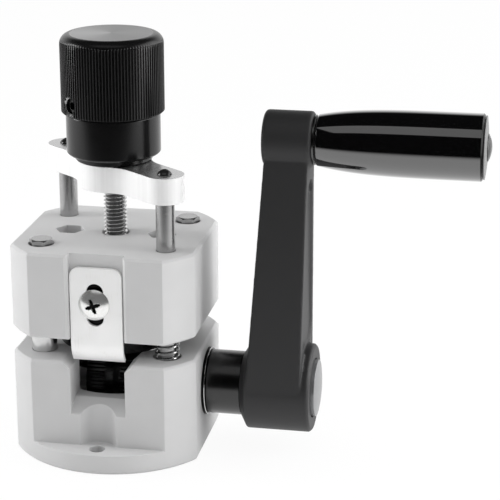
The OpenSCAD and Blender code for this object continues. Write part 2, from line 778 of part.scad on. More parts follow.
module knob_set_screw() color(dark_steel) at_set_screw() set_screw(set_screw_d, set_screw_len, set_screw_hex);

// Springs

// Centres of the rings of a spring: a straight end, the curls and another straight end
function spring_path() = let (
    r = spring_mean_d / 2,
    low = spring_low + spring_wire,
    high = spring_high - spring_wire,
    steps = spring_curls * spring_rings)
    concat([[r, 0, spring_low]],
           [for (k = [0:steps]) [r * cos(360 * k / spring_rings), r * sin(360 * k / spring_rings),
                                 low + (high - low) * k / steps]],
           [[r, 0, spring_high]]);

// Points of the ring round the centre numbered k, square to the path there
function spring_ring(path, k) = let (
    last = len(path) - 1,
    before = path[max(k - 1, 0)],
    after = path[min(k + 1, last)],
    along = (after - before) / norm(after - before),
    out = [path[k][0], path[k][1], 0] / norm([path[k][0], path[k][1]]),
    across = cross(along, out) / norm(cross(along, out)),
    side = cross(across, along))
    [for (m = [0:spring_sides - 1]) let (a = 360 * (m + 0.5) / spring_sides)
        path[k] + spring_wire / 2 * (cos(a) * side + sin(a) * across)];

module spring(s) {
    path = spring_path();
    last = len(path) - 1;
    n = spring_sides;
    points = [for (k = [0:last]) each spring_ring(path, k)];
    ends = [for (m = [1:n - 2]) each [[0, m, m + 1], [last * n, last * n + m + 1, last * n + m]]];
    sides = [for (k = [0:last - 1], m = [0:n - 1]) let (a = k * n + m, b = k * n + (m + 1) % n)
        each [[a, a + n, b], [b, a + n, b + n]]];
    least = min([for (i = [0:last], j = [0:last]) if (j > i + spring_rings / 2) norm(path[j] - path[i])]);
    echo(str("least gap of the spring to itself, mm: ", least - spring_wire));
    color(polished_steel) translate([s * post_x, -s * post_y, 0]) polyhedron(points, concat(ends, sides));
}

module spring_right() spring(1);
module spring_left() spring(-1);

// Crank group

module drive_shaft() color(polished_steel) difference() {
    along_x(shaft_left, 0, crank_z) bevelled_bar(shaft_d, shaft_right - shaft_left, clip_groove / 2);
    along_x(bearing_left_x - clip_t, 0, crank_z) ring(shaft_d + 2 * cut, shaft_d - 2 * clip_groove, clip_t);
    translate([key_x, -key_w / 2, crank_z + shaft_d / 2 - key_h / 2]) cube([key_len, key_w, key_h]);
    along_x(shaft_right - hub_screw_grip, 0, crank_z)
        cylinder(d = hub_screw_d + 2 * fit_gap, h = hub_screw_grip + cut);
}

module shaft_clip() color(dark_steel) along_x(bearing_left_x - clip_t, 0, crank_z) difference() {
    cylinder(d = clip_d, h = clip_t);
    translate([0, 0, -cut]) cylinder(d = shaft_d - 2 * clip_groove + 2 * fit_gap, h = clip_t + 2 * cut);
    translate([0, -clip_t, -cut]) cube([clip_d, 2 * clip_t, clip_t + 2 * cut]);
}

module feed_roller() color(black_anodised) difference() {
    along_x(-roller_len / 2, 0, crank_z) difference() {
        union() {
            intersection() {
                cylinder(d = roller_d, h = roller_len);
                translate([0, 0, -cut]) linear_extrude(roller_len + 2 * cut)
                    polygon(knurl(roller_d / 2, roller_knurl_depth, roller_knurls));
            }
            cylinder(d = roller_hub_d, h = roller_len + roller_hub_len);
        }
        translate([0, 0, roller_len / 2]) rotate_extrude() polygon([
            [roller_d / 2 - roller_groove, 0], [roller_d / 2 + roller_groove, -2 * roller_groove_w],
            [roller_d / 2 + roller_groove, 2 * roller_groove_w]]);
        translate([0, 0, -cut]) cylinder(d = shaft_d + 2 * fit_gap, h = roller_len + roller_hub_len + 2 * cut);
    }
    translate([(roller_len + roller_hub_len) / 2, 0, crank_z])
        cylinder(d = roller_screw_d + 2 * fit_gap, h = roller_hub_d);
}

module roller_set_screw() color(dark_steel)
    translate([(roller_len + roller_hub_len) / 2, 0, crank_z + shaft_d / 2 + fit_gap])
        set_screw(roller_screw_d, (roller_hub_d - shaft_d) / 2 - face_gap, set_screw_hex);

module at_bearings() for (x = [bearing_left_x, bearing_right_x]) along_x(x, 0, crank_z) children();

module ball_race() translate([bearing_pitch_r, bearing_w / 2]) circle(d = ball_d + 2 * fit_gap);

module bearing_outer_rings() color(polished_steel) at_bearings() rotate_extrude() difference() {
    translate([race_out_r, 0]) square([bearing_d / 2 - race_out_r, bearing_w]);
    ball_race();
}

module bearing_inner_rings() color(polished_steel) at_bearings() rotate_extrude() difference() {
    translate([shaft_d / 2 + fit_gap, 0]) square([race_in_r - shaft_d / 2 - fit_gap, bearing_w]);
    ball_race();
}

module bearing_balls() color(polished_steel) at_bearings() for (k = [0:ball_count - 1])
    rotate([0, 0, 360 * k / ball_count]) translate([bearing_pitch_r, 0, bearing_w / 2])
        sphere(d = ball_d, $fn = ball_sides);

module bearing_shields() color(dark_steel) at_bearings()
    for (z = [shield_inset, bearing_w - shield_inset - shield_t]) translate([0, 0, z])
        ring(2 * race_out_r, 2 * race_in_r + 2 * face_gap, shield_t);

module crank_sleeve() color(black_anodised) along_x(sleeve_nose, 0, crank_z) difference() {
    union() {
        translate([0, 0, face_gap]) cylinder(d = sleeve_d, h = sleeve_len - face_gap);
        cylinder(d = sleeve_nose_d, h = sleeve_len);
    }
    translate([0, 0, -cut]) cylinder(d = shaft_d + 2 * fit_gap, h = sleeve_len + 2 * cut);
}

module crank_key() color(polished_steel) translate([key_x, -key_w / 2, crank_z + shaft_d / 2 - key_h / 2])
    cube([key_len, key_w, key_h]);

// The arm's shallow recess, as an outline of Y and Z
module arm_recess() {
    low_r = arm_half(recess_low) - recess_rim;
    high_r = arm_half(recess_high) - recess_rim;
    translate([0, crank_z + recess_low]) circle(low_r);
    translate([0, crank_z + recess_high]) circle(high_r);
    polygon([[-low_r, crank_z + recess_low], [low_r, crank_z + recess_low],
             [high_r, crank_z + recess_high], [-high_r, crank_z + recess_high]]);
}

// Half of the arm's width at a height above the crank's axis
function arm_half(rise) = hub_r + (arm_tip_w - hub_r) * rise / crank_radius;

module arm_body() {
    intersection() {
        translate([arm_root_in, 0, 0]) yz_prism(stock_d) polygon([
            [-hub_r, crank_z], [hub_r, crank_z], [arm_tip_w, grip_z], [-arm_tip_w, grip_z]]);
        xz_prism(stock_d) polygon([
            [arm_root_in, crank_z], [arm_root_out, crank_z], [arm_tip_out, grip_z], [arm_tip_in, grip_z]]);
    }
    along_x(hub_x, 0, crank_z) rotate_extrude() polygon([
        [0, 0], [hub_r - hub_bevel_rise, 0], [hub_r, hub_bevel_run], [hub_r, hub_len - edge_bevel],
        [hub_r - edge_bevel, hub_len], [0, hub_len]]);
    along_x(top_boss_x, 0, grip_z) bevelled_bar(2 * top_boss_r, top_boss_len, edge_bevel);
}

module crank_arm() color(cast_black) difference() {
    arm_body();
    translate([arm_tip_out - recess_deep + stock_d / 2, 0, 0]) yz_prism(stock_d) difference() {
        arm_recess();
        translate([0, crank_z]) circle(hub_r);
        translate([0, grip_z]) circle(top_boss_r);
    }
    along_x(hub_x - cut, 0, crank_z) cylinder(d = shaft_d + 2 * fit_gap, h = hub_len);
    along_x(hub_end - hub_bore_depth, 0, crank_z) cylinder(r = hub_bore_r, h = hub_bore_depth + cut);
    translate([hub_x - cut, -key_w / 2 - fit_gap, crank_z])
        cube([hub_len, key_w + 2 * fit_gap, shaft_d / 2 + key_h / 2 + fit_gap]);
    along_x(top_boss_end - spindle_grip, 0, grip_z)
        cylinder(d = grip_spindle_d + 2 * fit_gap, h = spindle_grip + cut);
}

module hub_washer() color(polished_steel) along_x(hub_end - hub_bore_depth, 0, crank_z)
    ring(hub_washer_d, hub_screw_d + 2 * fit_gap, hub_washer_t);

module hub_screw() color(dark_steel) along_x(hub_end - hub_bore_depth + hub_washer_t, 0, crank_z)
    cap_screw(hub_screw_d, hub_screw_grip, hub_screw_head_d, hub_screw_head_h, set_screw_hex);

// A dome of a given rim radius and height, as a half section on the axis
module dome_section(r, h) intersection() {
    translate([0, h - (r * r + h * h) / (2 * h)]) circle((r * r + h * h) / (2 * h), $fn = dome_sides);
    square([r, h]);
}

module hub_cap() color(bright_aluminium) along_x(hub_end - hub_cap_sink, 0, crank_z)
    rotate_extrude() difference() {
        union() {
            square([hub_cap_r, hub_cap_skirt]);
            square([hub_bore_r - fit_gap, hub_cap_foot]);
            translate([0, hub_cap_skirt]) dome_section(hub_cap_r, hub_cap_dome);
        }
        square([hub_cap_r - hub_cap_wall, hub_cap_skirt - hub_cap_wall]);
        translate([0, hub_cap_skirt - hub_cap_wall]) dome_section(hub_cap_r - hub_cap_wall, hub_cap_dome);
    }

// Grip group

module grip_spindle() color(polished_steel) difference() {
    along_x(top_boss_end - spindle_grip, 0, grip_z)
        cylinder(d = grip_spindle_d, h = spindle_grip + spindle_end - top_boss_end);
    along_x(spindle_end - end_screw_grip, 0, grip_z)
        cylinder(d = end_screw_d + 2 * fit_gap, h = end_screw_grip + cut);
}

module grip_washer() color(polished_steel) along_x(top_boss_end, 0, grip_z)
    ring(2 * washer_r, grip_spindle_d + 2 * fit_gap, washer_t);

// Radius of the grip at a share of its length
function grip_r(t) = grip_far_r - (grip_far_r - grip_near_r) * pow(1 - t, grip_swell);

module grip() color(black_anodised) along_x(grip_x, 0, grip_z) difference() {
    rotate_extrude() polygon(concat(
        [[0, 0]],
        [for (k = [0:grip_steps]) let (t = pow(k / grip_steps, grip_crowding)) [grip_r(t), t * grip_len]],
        [[0, grip_len]]));
    translate([0, 0, -cut]) cylinder(d = grip_spindle_d + 2 * fit_gap, h = grip_len + 2 * cut);
}

module grip_end_cap() color(bright_aluminium) along_x(spindle_end, 0, grip_z) difference() {
    rotate_extrude() {
        square([end_cap_r, end_cap_edge]);
        translate([0, end_cap_edge]) dome_section(end_cap_r, end_cap_dome);
    }
    translate([0, 0, -cut]) cylinder(d = end_screw_d + 2 * fit_gap, h = end_cap_edge + end_cap_dome + 2 * cut);
}

module grip_screw() color(polished_steel) along_x(spindle_end + end_cap_edge + end_cap_dome, 0, grip_z)
    difference() {
        union() {
            translate([0, 0, face_gap - end_screw_grip]) cylinder(d = end_screw_d, h = end_screw_grip);
            button_head(end_screw_head_r, end_screw_head_h);
        }
        translate([-end_screw_head_r, -end_screw_slot / 2, end_screw_head_h / 2])
            cube([2 * end_screw_head_r, end_screw_slot, end_screw_head_h]);
    }

base_block();
post_right();
post_left();
guide_pin_left();
guide_pin_right();
post_screws();
crossbar();
crossbar_screws();
head_block();
guide_plate();
guide_plate_screw();
thrust_pad();
blade_carrier();
carrier_bolts();
blade_axle();
cutting_blade();
blade_bushing();
blade_spacers();
spindle();
knob_collar();
knob_cap();
knob_set_screw();
knob_screw();
spring_right();
spring_left();
drive_shaft();
feed_roller();
roller_set_screw();
bearing_outer_rings();
bearing_inner_rings();
bearing_balls();
bearing_shields();
shaft_clip();
crank_sleeve();
crank_key();
crank_arm();
hub_washer();
hub_screw();
hub_cap();
grip_spindle();
grip_washer();
grip();
grip_end_cap();
grip_screw();
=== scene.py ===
"""Hand crank wire stripper: the finish and fine shape of every piece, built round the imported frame."""

import json
import math

import bpy
from bpy.props import FloatProperty, FloatVectorProperty, IntProperty, PointerProperty
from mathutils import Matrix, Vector


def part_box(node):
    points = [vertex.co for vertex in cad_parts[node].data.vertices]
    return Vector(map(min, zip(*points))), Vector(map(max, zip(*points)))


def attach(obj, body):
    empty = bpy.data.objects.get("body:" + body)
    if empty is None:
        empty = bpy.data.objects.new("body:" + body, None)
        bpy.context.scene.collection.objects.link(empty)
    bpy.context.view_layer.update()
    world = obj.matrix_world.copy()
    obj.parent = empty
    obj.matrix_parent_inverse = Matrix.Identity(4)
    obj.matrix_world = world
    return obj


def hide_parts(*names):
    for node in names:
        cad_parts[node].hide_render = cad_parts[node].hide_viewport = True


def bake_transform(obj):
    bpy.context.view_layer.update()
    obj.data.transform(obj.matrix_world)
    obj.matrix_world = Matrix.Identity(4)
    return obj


bl_info = {
    "name": "Hand crank wire stripper",
    "version": (1, 0, 0),
    "blender": (4, 5, 0),
    "location": "View3D > Sidebar > Wire stripper",
    "description": "Builds a bench wire stripper with a hand crank, piece by piece",
    "category": "Object",
}

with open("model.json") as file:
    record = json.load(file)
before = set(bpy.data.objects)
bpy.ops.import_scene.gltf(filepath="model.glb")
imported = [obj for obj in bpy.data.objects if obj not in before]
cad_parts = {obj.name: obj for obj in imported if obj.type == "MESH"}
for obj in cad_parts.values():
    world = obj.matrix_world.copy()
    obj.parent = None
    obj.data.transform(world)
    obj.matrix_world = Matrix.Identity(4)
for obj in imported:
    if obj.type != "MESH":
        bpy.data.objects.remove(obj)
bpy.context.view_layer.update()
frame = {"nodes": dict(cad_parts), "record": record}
NODES = frame["nodes"]
BODY_OF = {node: body for body, nodes in frame["record"]["behaviour"]["bodies"].items() for node in nodes}
SLOT_OF = {part["node"]: part["material_slot"] for part in frame["record"]["subparts"]}
MERGE = 1e-6
FULL_TURN = math.tau
CREASE = math.radians(35)
SMOOTH_CREASE = math.radians(60)
FLAT_ENOUGH = math.radians(0.1)
STRAIGHT = 0.9
TILTED = 0.3
SOFT_LIMIT = math.radians(25)
RIDGE_FACES = 4
BACKDROP_START = ((0.48, 0.0), (0.62, 1.0))
BACKDROP_TOP = ((0.34, 1.0), (0.6, 0.0))
SKY = ((0.3, 0.0), (0.52, 1.0), (0.85, 0.35))
# Name, place, size and target of each lamp
LAMPS = (
    ("key", (0.4, 0.02, 0.16), (0.28, 0.16), (0, 0.02, 0.16)),
    ("side", (1.2, 0.4, 0.6), (1.4, 1.1), (0, 0, 0.06)),
    ("fill", (-0.4, -0.05, 0.24), (0.14, 0.28), (0, 0, 0.24)),
    ("top", (0.04, -0.68, 1.23), (1.2, 0.77), (0.04, -0.68, 0)),
)


def ColourProperty(name, description, shade):
    return FloatVectorProperty(
        name=name, description=description, subtype="COLOR", min=0, max=1, default=shade)


def LengthProperty(name, description, metres):
    return FloatProperty(name=name, description=description, unit="LENGTH", min=0, default=metres)


def AngleProperty(name, description, degrees):
    return FloatProperty(name=name, description=description, subtype="ANGLE", default=math.radians(degrees))


class StripperFinish(bpy.types.PropertyGroup):
    """Colours of the finishes."""

    bar_stock: ColourProperty("Bar stock", "Blasted aluminium of the two blocks", (0.604, 0.604, 0.606))
    bright_aluminium: ColourProperty(
        "Bright aluminium", "Machined aluminium of the crossbar", (0.9, 0.9, 0.9))
    stainless: ColourProperty("Stainless", "Brushed sheet of the guide plate", (0.98, 0.98, 0.975))
    steel: ColourProperty("Polished steel", "Pins, spindle, springs, shaft and bearings", (0.72, 0.72, 0.72))
    ground_steel: ColourProperty("Ground steel", "Posts, and the pins over the head", (0.43, 0.43, 0.43))
    # Dark colour of the grip's washer, also used as painted shade in the thread's valleys and on its downward
    # flanks
    worn_steel: ColourProperty(
        "Worn steel", "Washer at the grip and valleys of the thread", (0.12, 0.12, 0.12))
    nickel: ColourProperty("Nickel plate", "Screw of the guide plate", (0.95, 0.95, 0.94))
    black_aluminium: ColourProperty("Black anodised", "Knob and blade carrier", (0.005, 0.005, 0.0052))
    # Lighter than the knob's black as a painted highlight on the crests of the ridges
    crest_highlight: ColourProperty(
        "Ridge crest", "Crests of the knob's ridges, worn a little lighter", (0.022, 0.022, 0.022))
    # Lighter than the knob's black as painted sheen, standing for the light that the knob's top reflects
    faced_black: ColourProperty("Faced black", "Lathe-faced top of the knob", (0.36, 0.36, 0.362))
    bare_aluminium: ColourProperty("Bare aluminium", "Chamfer round the set screw's hole", (0.34, 0.34, 0.34))
    # Also the colour of the painted shade in recesses and gaps
    black_steel: ColourProperty(
        "Black steel", "Sleeve on the crank shaft, feed roller and dark recesses", (0.002, 0.002, 0.002))
    dark_steel: ColourProperty(
        "Black oxide", "Screws and washers with a black oxide finish", (0.06, 0.06, 0.061))
    cast_black: ColourProperty("Powder coat", "Coating of the cast crank arm", (0.022, 0.022, 0.023))
    bronze: ColourProperty("Bronze", "Thrust pad and blade bush", (0.45, 0.29, 0.12))
    black_plastic: ColourProperty("Gloss plastic", "Turning grip", (0.002, 0.002, 0.0022))
    grey_plastic: ColourProperty("Light caps", "Cap on the crank's hub", (0.26, 0.264, 0.268))
    end_cap: ColourProperty("End cap", "Cap on the grip's end", (0.16, 0.16, 0.16))


class StripperSizes(bpy.types.PropertyGroup):
    """Sizes of the fine shapes that the finishing adds."""

    block_edge: LengthProperty("Block edges", "Rounding of the two blocks' edges", 0.00035)
    part_edge: LengthProperty("Part edges", "Rounding of the turned and milled parts' edges", 0.0002)
    screw_edge: LengthProperty("Screw edges", "Rounding of the screws' edges", 0.00012)
    cast_voxel: FloatProperty(
        name="Casting detail", description="Size of the cells that the cast arm is blended in",
        unit="LENGTH", min=0.0003, default=0.0005)
    cast_smoothing: IntProperty(
        name="Casting smoothing", description="Passes that round the cast arm's corners",
        min=0, default=2)
    thread_pitch: LengthProperty("Thread pitch", "Rise of the spindle's thread in one turn", 0.0015875)
    thread_depth: LengthProperty("Thread depth", "Depth of the spindle's thread", 0.00086)
    spring_wire: LengthProperty("Spring wire", "Diameter of the springs' wire", 0.001)
    spring_curls: IntProperty(
        name="Spring curls", description="Turns of each spring", min=2, default=11)
    turn_steps: IntProperty(
        name="Turned steps", description="Faces round a turned part", min=24, default=96)


class StripperStage(bpy.types.PropertyGroup):
    """Camera, floor and lamps."""

    lens: FloatProperty(
        name="Lens", description="Focal length on a sensor 36 mm wide", min=1, default=130.72)
    place: FloatVectorProperty(
        name="Camera", description="Where the camera stands",
        subtype="TRANSLATION", unit="LENGTH", default=(0.184286, -0.689916, 0.310718))
    tilt: AngleProperty("Tilt", "Angle of the camera from straight down", 72.124)
    swing: AngleProperty("Swing", "Angle of the camera about the vertical", 10.536)
    floor_size: FloatProperty(
        name="Floor", description="Width of the floor", unit="LENGTH", min=1, default=5.0)
    floor_gap: LengthProperty("Floor gap", "How far the floor lies under the base", 0.0001)
    floor_colour: ColourProperty("Floor colour", "Pale floor", (0.96, 0.96, 0.96))
    floor_glow: FloatProperty(
        name="Floor glow", description="Share of the floor that the camera sees as plain white",
        min=0, max=1, default=0.93)
    sheet_start: FloatProperty(
        name="Sheet start", description="Where the white sheet starts to fade in reflections",
        subtype="DISTANCE", default=-0.2)
    sheet_end: FloatProperty(
        name="Sheet end", description="Where the white sheet ends in reflections",
        subtype="DISTANCE", default=-0.42)
    dark_room: FloatProperty(
        name="Room", description="Brightness of the room behind the camera in reflections",
        min=0, default=0.005)
    ambient: FloatProperty(
        name="Ambient", description="Strength of the even light from all round", min=0, default=1.22)
    front_sky: FloatProperty(
        name="Front sky", description="Share of the even light that comes from the camera's side",
        min=0, max=1, default=0.35)
    key_power: FloatProperty(
        name="Key lamp", description="Power of the small lamp on the crank side", min=0, default=0.6)
    side_power: FloatProperty(
        name="Side lamp", description="Power of the large lamp on the crank side", min=0, default=8.5)
    fill_power: FloatProperty(
        name="Fill lamp", description="Power of the small lamp on the left", min=0, default=1.0)
    top_power: FloatProperty(
        name="Top lamp", description="Power of the lamp overhead", min=0, default=1.5)


# Shaders

class Socket:
    """A shader socket in an expression. Each operator adds the Math node that it stands for."""

    def __init__(self, shader, end):
        self.shader = shader
        self.end = end

    def math(self, operation, first, second=0.0):
        return self.shader.node("ShaderNodeMath", {"operation": operation}, {0: first, 1: second})

    def __add__(self, other):
        return self.math("ADD", self, other)

    def __radd__(self, other):
        return self.math("ADD", other, self)

    def __sub__(self, other):
        return self.math("SUBTRACT", self, other)

    def __rsub__(self, other):
        return self.math("SUBTRACT", other, self)

    def __mul__(self, other):
        return self.math("MULTIPLY", self, other)

    def __rmul__(self, other):
        return self.math("MULTIPLY", other, self)

    def __pow__(self, other):
        return self.math("POWER", self, other)


class Shader:
    """The node tree of one material or world, with short calls for the nodes used here."""

    def __init__(self, tree):
        self.tree = tree
        tree.nodes.clear()

    def node(self, kind, settings=None, values=None, output=0):
        made = self.tree.nodes.new(kind)
        for name, value in (settings or {}).items():
            if name == "stops":
                ramp = made.color_ramp.elements
                while len(ramp) < len(value):
                    ramp.new(0.5)
                for element, (position, shade) in zip(ramp, value):
                    element.position = position
                    element.color = (shade, shade, shade, 1)
            else:
                setattr(made, name, value)
        for name, value in (values or {}).items():
            if isinstance(value, Socket):
                self.tree.links.new(value.end, made.inputs[name])
            else:
                made.inputs[name].default_value = value
        return Socket(self, made.outputs[output]) if made.outputs else None

    def place(self, stretch=(1, 1, 1)):
        spot = self.node("ShaderNodeTexCoord", output="Object")
        return self.node("ShaderNodeMapping", {"vector_type": "POINT"}, {"Vector": spot, "Scale": stretch})

    def noise(self, scale, detail=2.0, stretch=(1, 1, 1)):
        return self.node("ShaderNodeTexNoise", None,
                         {"Vector": self.place(stretch), "Scale": scale, "Detail": detail})

    def ramp(self, value, stops):
        return self.node("ShaderNodeValToRGB", {"stops": stops}, {"Fac": value})

    def tint(self, colour, tone):
        return self.node("ShaderNodeVectorMath", {"operation": "SCALE"}, {0: tuple(colour), "Scale": tone})

    def bump(self, height, distance, strength=1.0):
        return self.node("ShaderNodeBump", None,
                         {"Height": height, "Distance": distance, "Strength": strength})

    def from_axis(self, centre, axis):
        """Distance from an axis through a point, for rings left by a lathe."""
        spot = self.node("ShaderNodeTexCoord", output="Object")
        flat = tuple(0.0 if turned else 1.0 for turned in axis)
        shifted = self.node("ShaderNodeVectorMath", {"operation": "SUBTRACT"}, {0: spot, 1: tuple(centre)})
        planar = self.node("ShaderNodeVectorMath", {"operation": "MULTIPLY"}, {0: shifted, 1: flat})
        return self.node("ShaderNodeVectorMath", {"operation": "LENGTH"}, {0: planar}, output="Value")

    def painted_glint(self, direction):
        """A painted highlight on a face turned about Z, two-sided and stronger where the direction points."""
        spot = self.node("ShaderNodeTexCoord", output="Object")
        planar = self.node("ShaderNodeVectorMath", {"operation": "MULTIPLY"}, {0: spot, 1: (1, 1, 0)})
        outward = self.node("ShaderNodeVectorMath", {"operation": "NORMALIZE"}, {0: planar})
        along = self.node("ShaderNodeVectorMath", {"operation": "DOT_PRODUCT"},
                          {0: outward, 1: direction}, output="Value")
        return along ** 2.0 * 0.6 + along * 0.4

    def surface(self, **values):
        """Ends a material in a Principled shader. Names have an underscore for each space."""
        named = {name.replace("_", " "): value for name, value in values.items()}
        shaded = self.node("ShaderNodeBsdfPrincipled", None, named)
        self.node("ShaderNodeOutputMaterial", None, {"Surface": shaded})


def blasted_aluminium(shader, colour):
    grain = shader.noise(3200, 3)
    cloud = shader.noise(70, 2)
    shader.surface(
        Base_Color=shader.tint(colour, 0.96 + 0.08 * cloud),
        Metallic=0.0,
        Roughness=0.6 + 0.12 * grain,
        Specular_IOR_Level=0.3,
        Normal=shader.bump(grain, 0.00002, 0.4))


def machined_aluminium(shader, colour):
    streaks = shader.noise(900, 3, stretch=(1, 1, 0.015))
    bands = shader.noise(190, 1, stretch=(1, 1, 0.02))
    shader.surface(
        Base_Color=shader.tint(colour, 0.82 + 0.14 * streaks + 0.18 * bands),
        Metallic=0.1,
        Roughness=0.3 + 0.16 * streaks,
        Normal=shader.bump(streaks, 0.00003, 0.5))


# Top of the crossbar: the blocks' darker bar-stock colour as painted shade
def shaded_top_aluminium(shader, colour):
    swirl = shader.noise(600, 3)
    shader.surface(
        Base_Color=shader.tint(colour, 0.9 + 0.2 * swirl),
        Metallic=0.9,
        Roughness=0.22 + 0.12 * swirl,
        Normal=shader.bump(swirl, 0.00002, 0.3))


def brushed_sheet(shader, colour):
    hair = shader.noise(2600, 4, stretch=(1, 1, 0.03))
    cloud = shader.noise(160, 2)
    shader.surface(
        Base_Color=shader.tint(colour, 0.84 + 0.2 * hair + 0.2 * cloud),
        Metallic=0.3,
        Roughness=0.3 + 0.14 * hair,
        Normal=shader.bump(hair, 0.00001, 0.4))


def polished_steel(shader, colour):
    rings = shader.noise(2200, 2, stretch=(0.05, 0.05, 1))
    shader.surface(
        Base_Color=shader.tint(colour, 0.9 + 0.2 * rings),
        Metallic=1.0,
        Roughness=0.12 + 0.1 * rings)


def ground_steel(shader, colour):
    rings = shader.noise(3000, 2, stretch=(0.04, 0.04, 1))
    stains = shader.noise(240, 2)
    shader.surface(
        Base_Color=shader.tint(colour, 0.8 + 0.2 * rings + 0.2 * stains),
        Metallic=1.0,
        Roughness=0.2 + 0.1 * rings)


def nickel_plate(shader, colour):
    grain = shader.noise(1800, 2)
    shader.surface(
        Base_Color=shader.tint(colour, 0.85 + 0.3 * grain),
        Metallic=0.8,
        Roughness=0.18 + 0.1 * grain,
        Normal=shader.bump(grain, 0.00002, 0.4))


def black_anodised(shader, colour):
    rings = shader.noise(3000, 2, stretch=(0.05, 0.05, 1))
    shader.surface(
        Base_Color=shader.tint(colour, 0.8 + 0.4 * rings),
        Metallic=0.0,
        Roughness=0.16 + 0.06 * rings,
        IOR=1.45,
        Normal=shader.bump(rings, 0.00001, 0.2))


def ridged_black(shader, colour):
    grain = shader.noise(2600, 2)
    shader.surface(
        Base_Color=shader.tint(colour, 0.75 + 0.5 * grain),
        Metallic=0.0,
        Roughness=0.2 + 0.1 * grain,
        Specular_IOR_Level=0.32)


# Top of the knob: a lighter colour as painted sheen over lathe rings, with a painted highlight towards the
# left front
def faced_black(shader, colour):
    rings = shader.node("ShaderNodeTexNoise", {"noise_dimensions": "1D"}, {
        "W": shader.from_axis((0, 0, 0), (0, 0, 1)), "Scale": 1400.0, "Detail": 3.0})
    painted_glint = shader.painted_glint((-0.97, -0.24, 0))
    shader.surface(
        Base_Color=shader.tint(colour, 0.6 + 0.3 * rings + 0.5 * painted_glint),
        Metallic=0.6,
        Roughness=0.32 + 0.16 * rings,
        Normal=shader.bump(rings, 0.00002, 0.3))


def black_steel(shader, colour):
    rings = shader.noise(1500, 2, stretch=(1, 0.04, 0.04))
    shader.surface(
        Base_Color=shader.tint(colour, 0.8 + 0.4 * rings),
        Metallic=0.0,
        Roughness=0.2 + 0.08 * rings,
        IOR=1.65)


def black_oxide(shader, colour):
    grain = shader.noise(3000, 2)
    shader.surface(
        Base_Color=shader.tint(colour, 0.7 + 0.6 * grain),
        Metallic=0.8,
        Roughness=0.16 + 0.12 * grain)


def powder_coat(shader, colour):
    grain = shader.noise(2400, 3)
    fine = shader.noise(6000, 1)
    shader.surface(
        Base_Color=shader.tint(colour, 0.85 + 0.3 * grain),
        Metallic=0.0,
        Roughness=0.5 + 0.1 * grain,
        Normal=shader.bump(grain + 0.4 * fine, 0.00004, 0.6))


def turned_bronze(shader, colour):
    rings = shader.noise(900, 2)
    shader.surface(
        Base_Color=shader.tint(colour, 0.85 + 0.3 * rings),
        Metallic=1.0,
        Roughness=0.3 + 0.1 * rings)


def gloss_plastic(shader, colour):
    ripple = shader.noise(90, 1)
    shader.surface(
        Base_Color=shader.tint(colour, 0.9 + 0.2 * ripple),
        Roughness=0.05 + 0.03 * ripple,
        IOR=1.85,
        Coat_Weight=1.0,
        Coat_IOR=1.8,
        Coat_Roughness=0.03,
        Normal=shader.bump(ripple, 0.0001, 0.15))


def light_cap(shader, colour):
    grain = shader.noise(2400, 2)
    shader.surface(
        Base_Color=shader.tint(colour, 0.92 + 0.16 * grain),
        Metallic=0.5,
        Roughness=0.28 + 0.1 * grain)


FINISHES = {
    "bar_stock": (blasted_aluminium, "bar_stock"),
    "bright_aluminium": (machined_aluminium, "bright_aluminium"),
    # Crossbar top: darker colour as painted shade
    "milled": (shaded_top_aluminium, "bar_stock"),
    "stainless": (brushed_sheet, "stainless"),
    "polished_steel": (polished_steel, "steel"),
    "ground_steel": (ground_steel, "ground_steel"),
    "thread": (polished_steel, "steel"),
    "pin_steel": (ground_steel, "steel"),
    "worn_steel": (ground_steel, "worn_steel"),
    "valley": (ground_steel, "worn_steel"),
    "nickel_plate": (nickel_plate, "nickel"),
    "black_aluminium": (black_anodised, "black_aluminium"),
    "groove": (ridged_black, "black_aluminium"),
    "ridge": (ridged_black, "crest_highlight"),
    "faced_black": (faced_black, "faced_black"),
    "bare_aluminium": (nickel_plate, "bare_aluminium"),
    "black_steel": (black_steel, "black_steel"),
    "dark_steel": (black_oxide, "dark_steel"),
    # Near-black finish: painted shade in the screw's cross recess, on the bearing rings, on the grip's far
    # end and on the sheet behind the plate's slot; also the knob's set screw
    "recess": (black_oxide, "black_steel"),
    "cast_black": (powder_coat, "cast_black"),
    "bronze": (turned_bronze, "bronze"),
    "black_plastic": (gloss_plastic, "black_plastic"),
    "grey_plastic": (light_cap, "grey_plastic"),
    "end_cap": (light_cap, "end_cap"),
}


def finish_of(slot):
    """The material of a slot, made when it is first asked for."""
    name = "finish_" + slot
    known = bpy.data.materials.get(name)
    if known:
        return known
    maker, colour = FINISHES[slot]
    material = bpy.data.materials.new(name)
    material.use_nodes = True
    maker(Shader(material.node_tree), getattr(bpy.context.scene.stripper_finish, colour))
    return material


# Modelling

def only(piece):
    """Selects one piece and nothing else."""
    bpy.ops.object.select_all(action="DESELECT")
    bpy.context.view_layer.objects.active = piece
    piece.select_set(True)


def edit_all(piece):
    """Opens a piece in edit mode with all of it selected."""
    only(piece)
    bpy.ops.object.mode_set(mode="EDIT")
    bpy.ops.mesh.select_mode(type="VERT")
    bpy.ops.mesh.select_all(action="SELECT")


def close_edit():
    bpy.ops.object.mode_set(mode="OBJECT")


def apply_modifier(piece, kind, **settings):
    """Adds a modifier and applies it."""
    only(piece)
    modifier = piece.modifiers.new(kind.lower(), kind)
    for name, value in settings.items():
        setattr(modifier, name, value)
    bpy.ops.object.modifier_apply(modifier=modifier.name)


def new_piece(name, points, edges):
    mesh = bpy.data.meshes.new(name)
    mesh.from_pydata(points, edges, [])
    piece = bpy.data.objects.new(name, mesh)
    bpy.context.collection.objects.link(piece)
    return piece


def settle(piece):
    """Puts a piece's place into its mesh, so that its object stands at the origin."""
    only(piece)
    bpy.ops.object.transform_apply(location=True, rotation=True, scale=True)


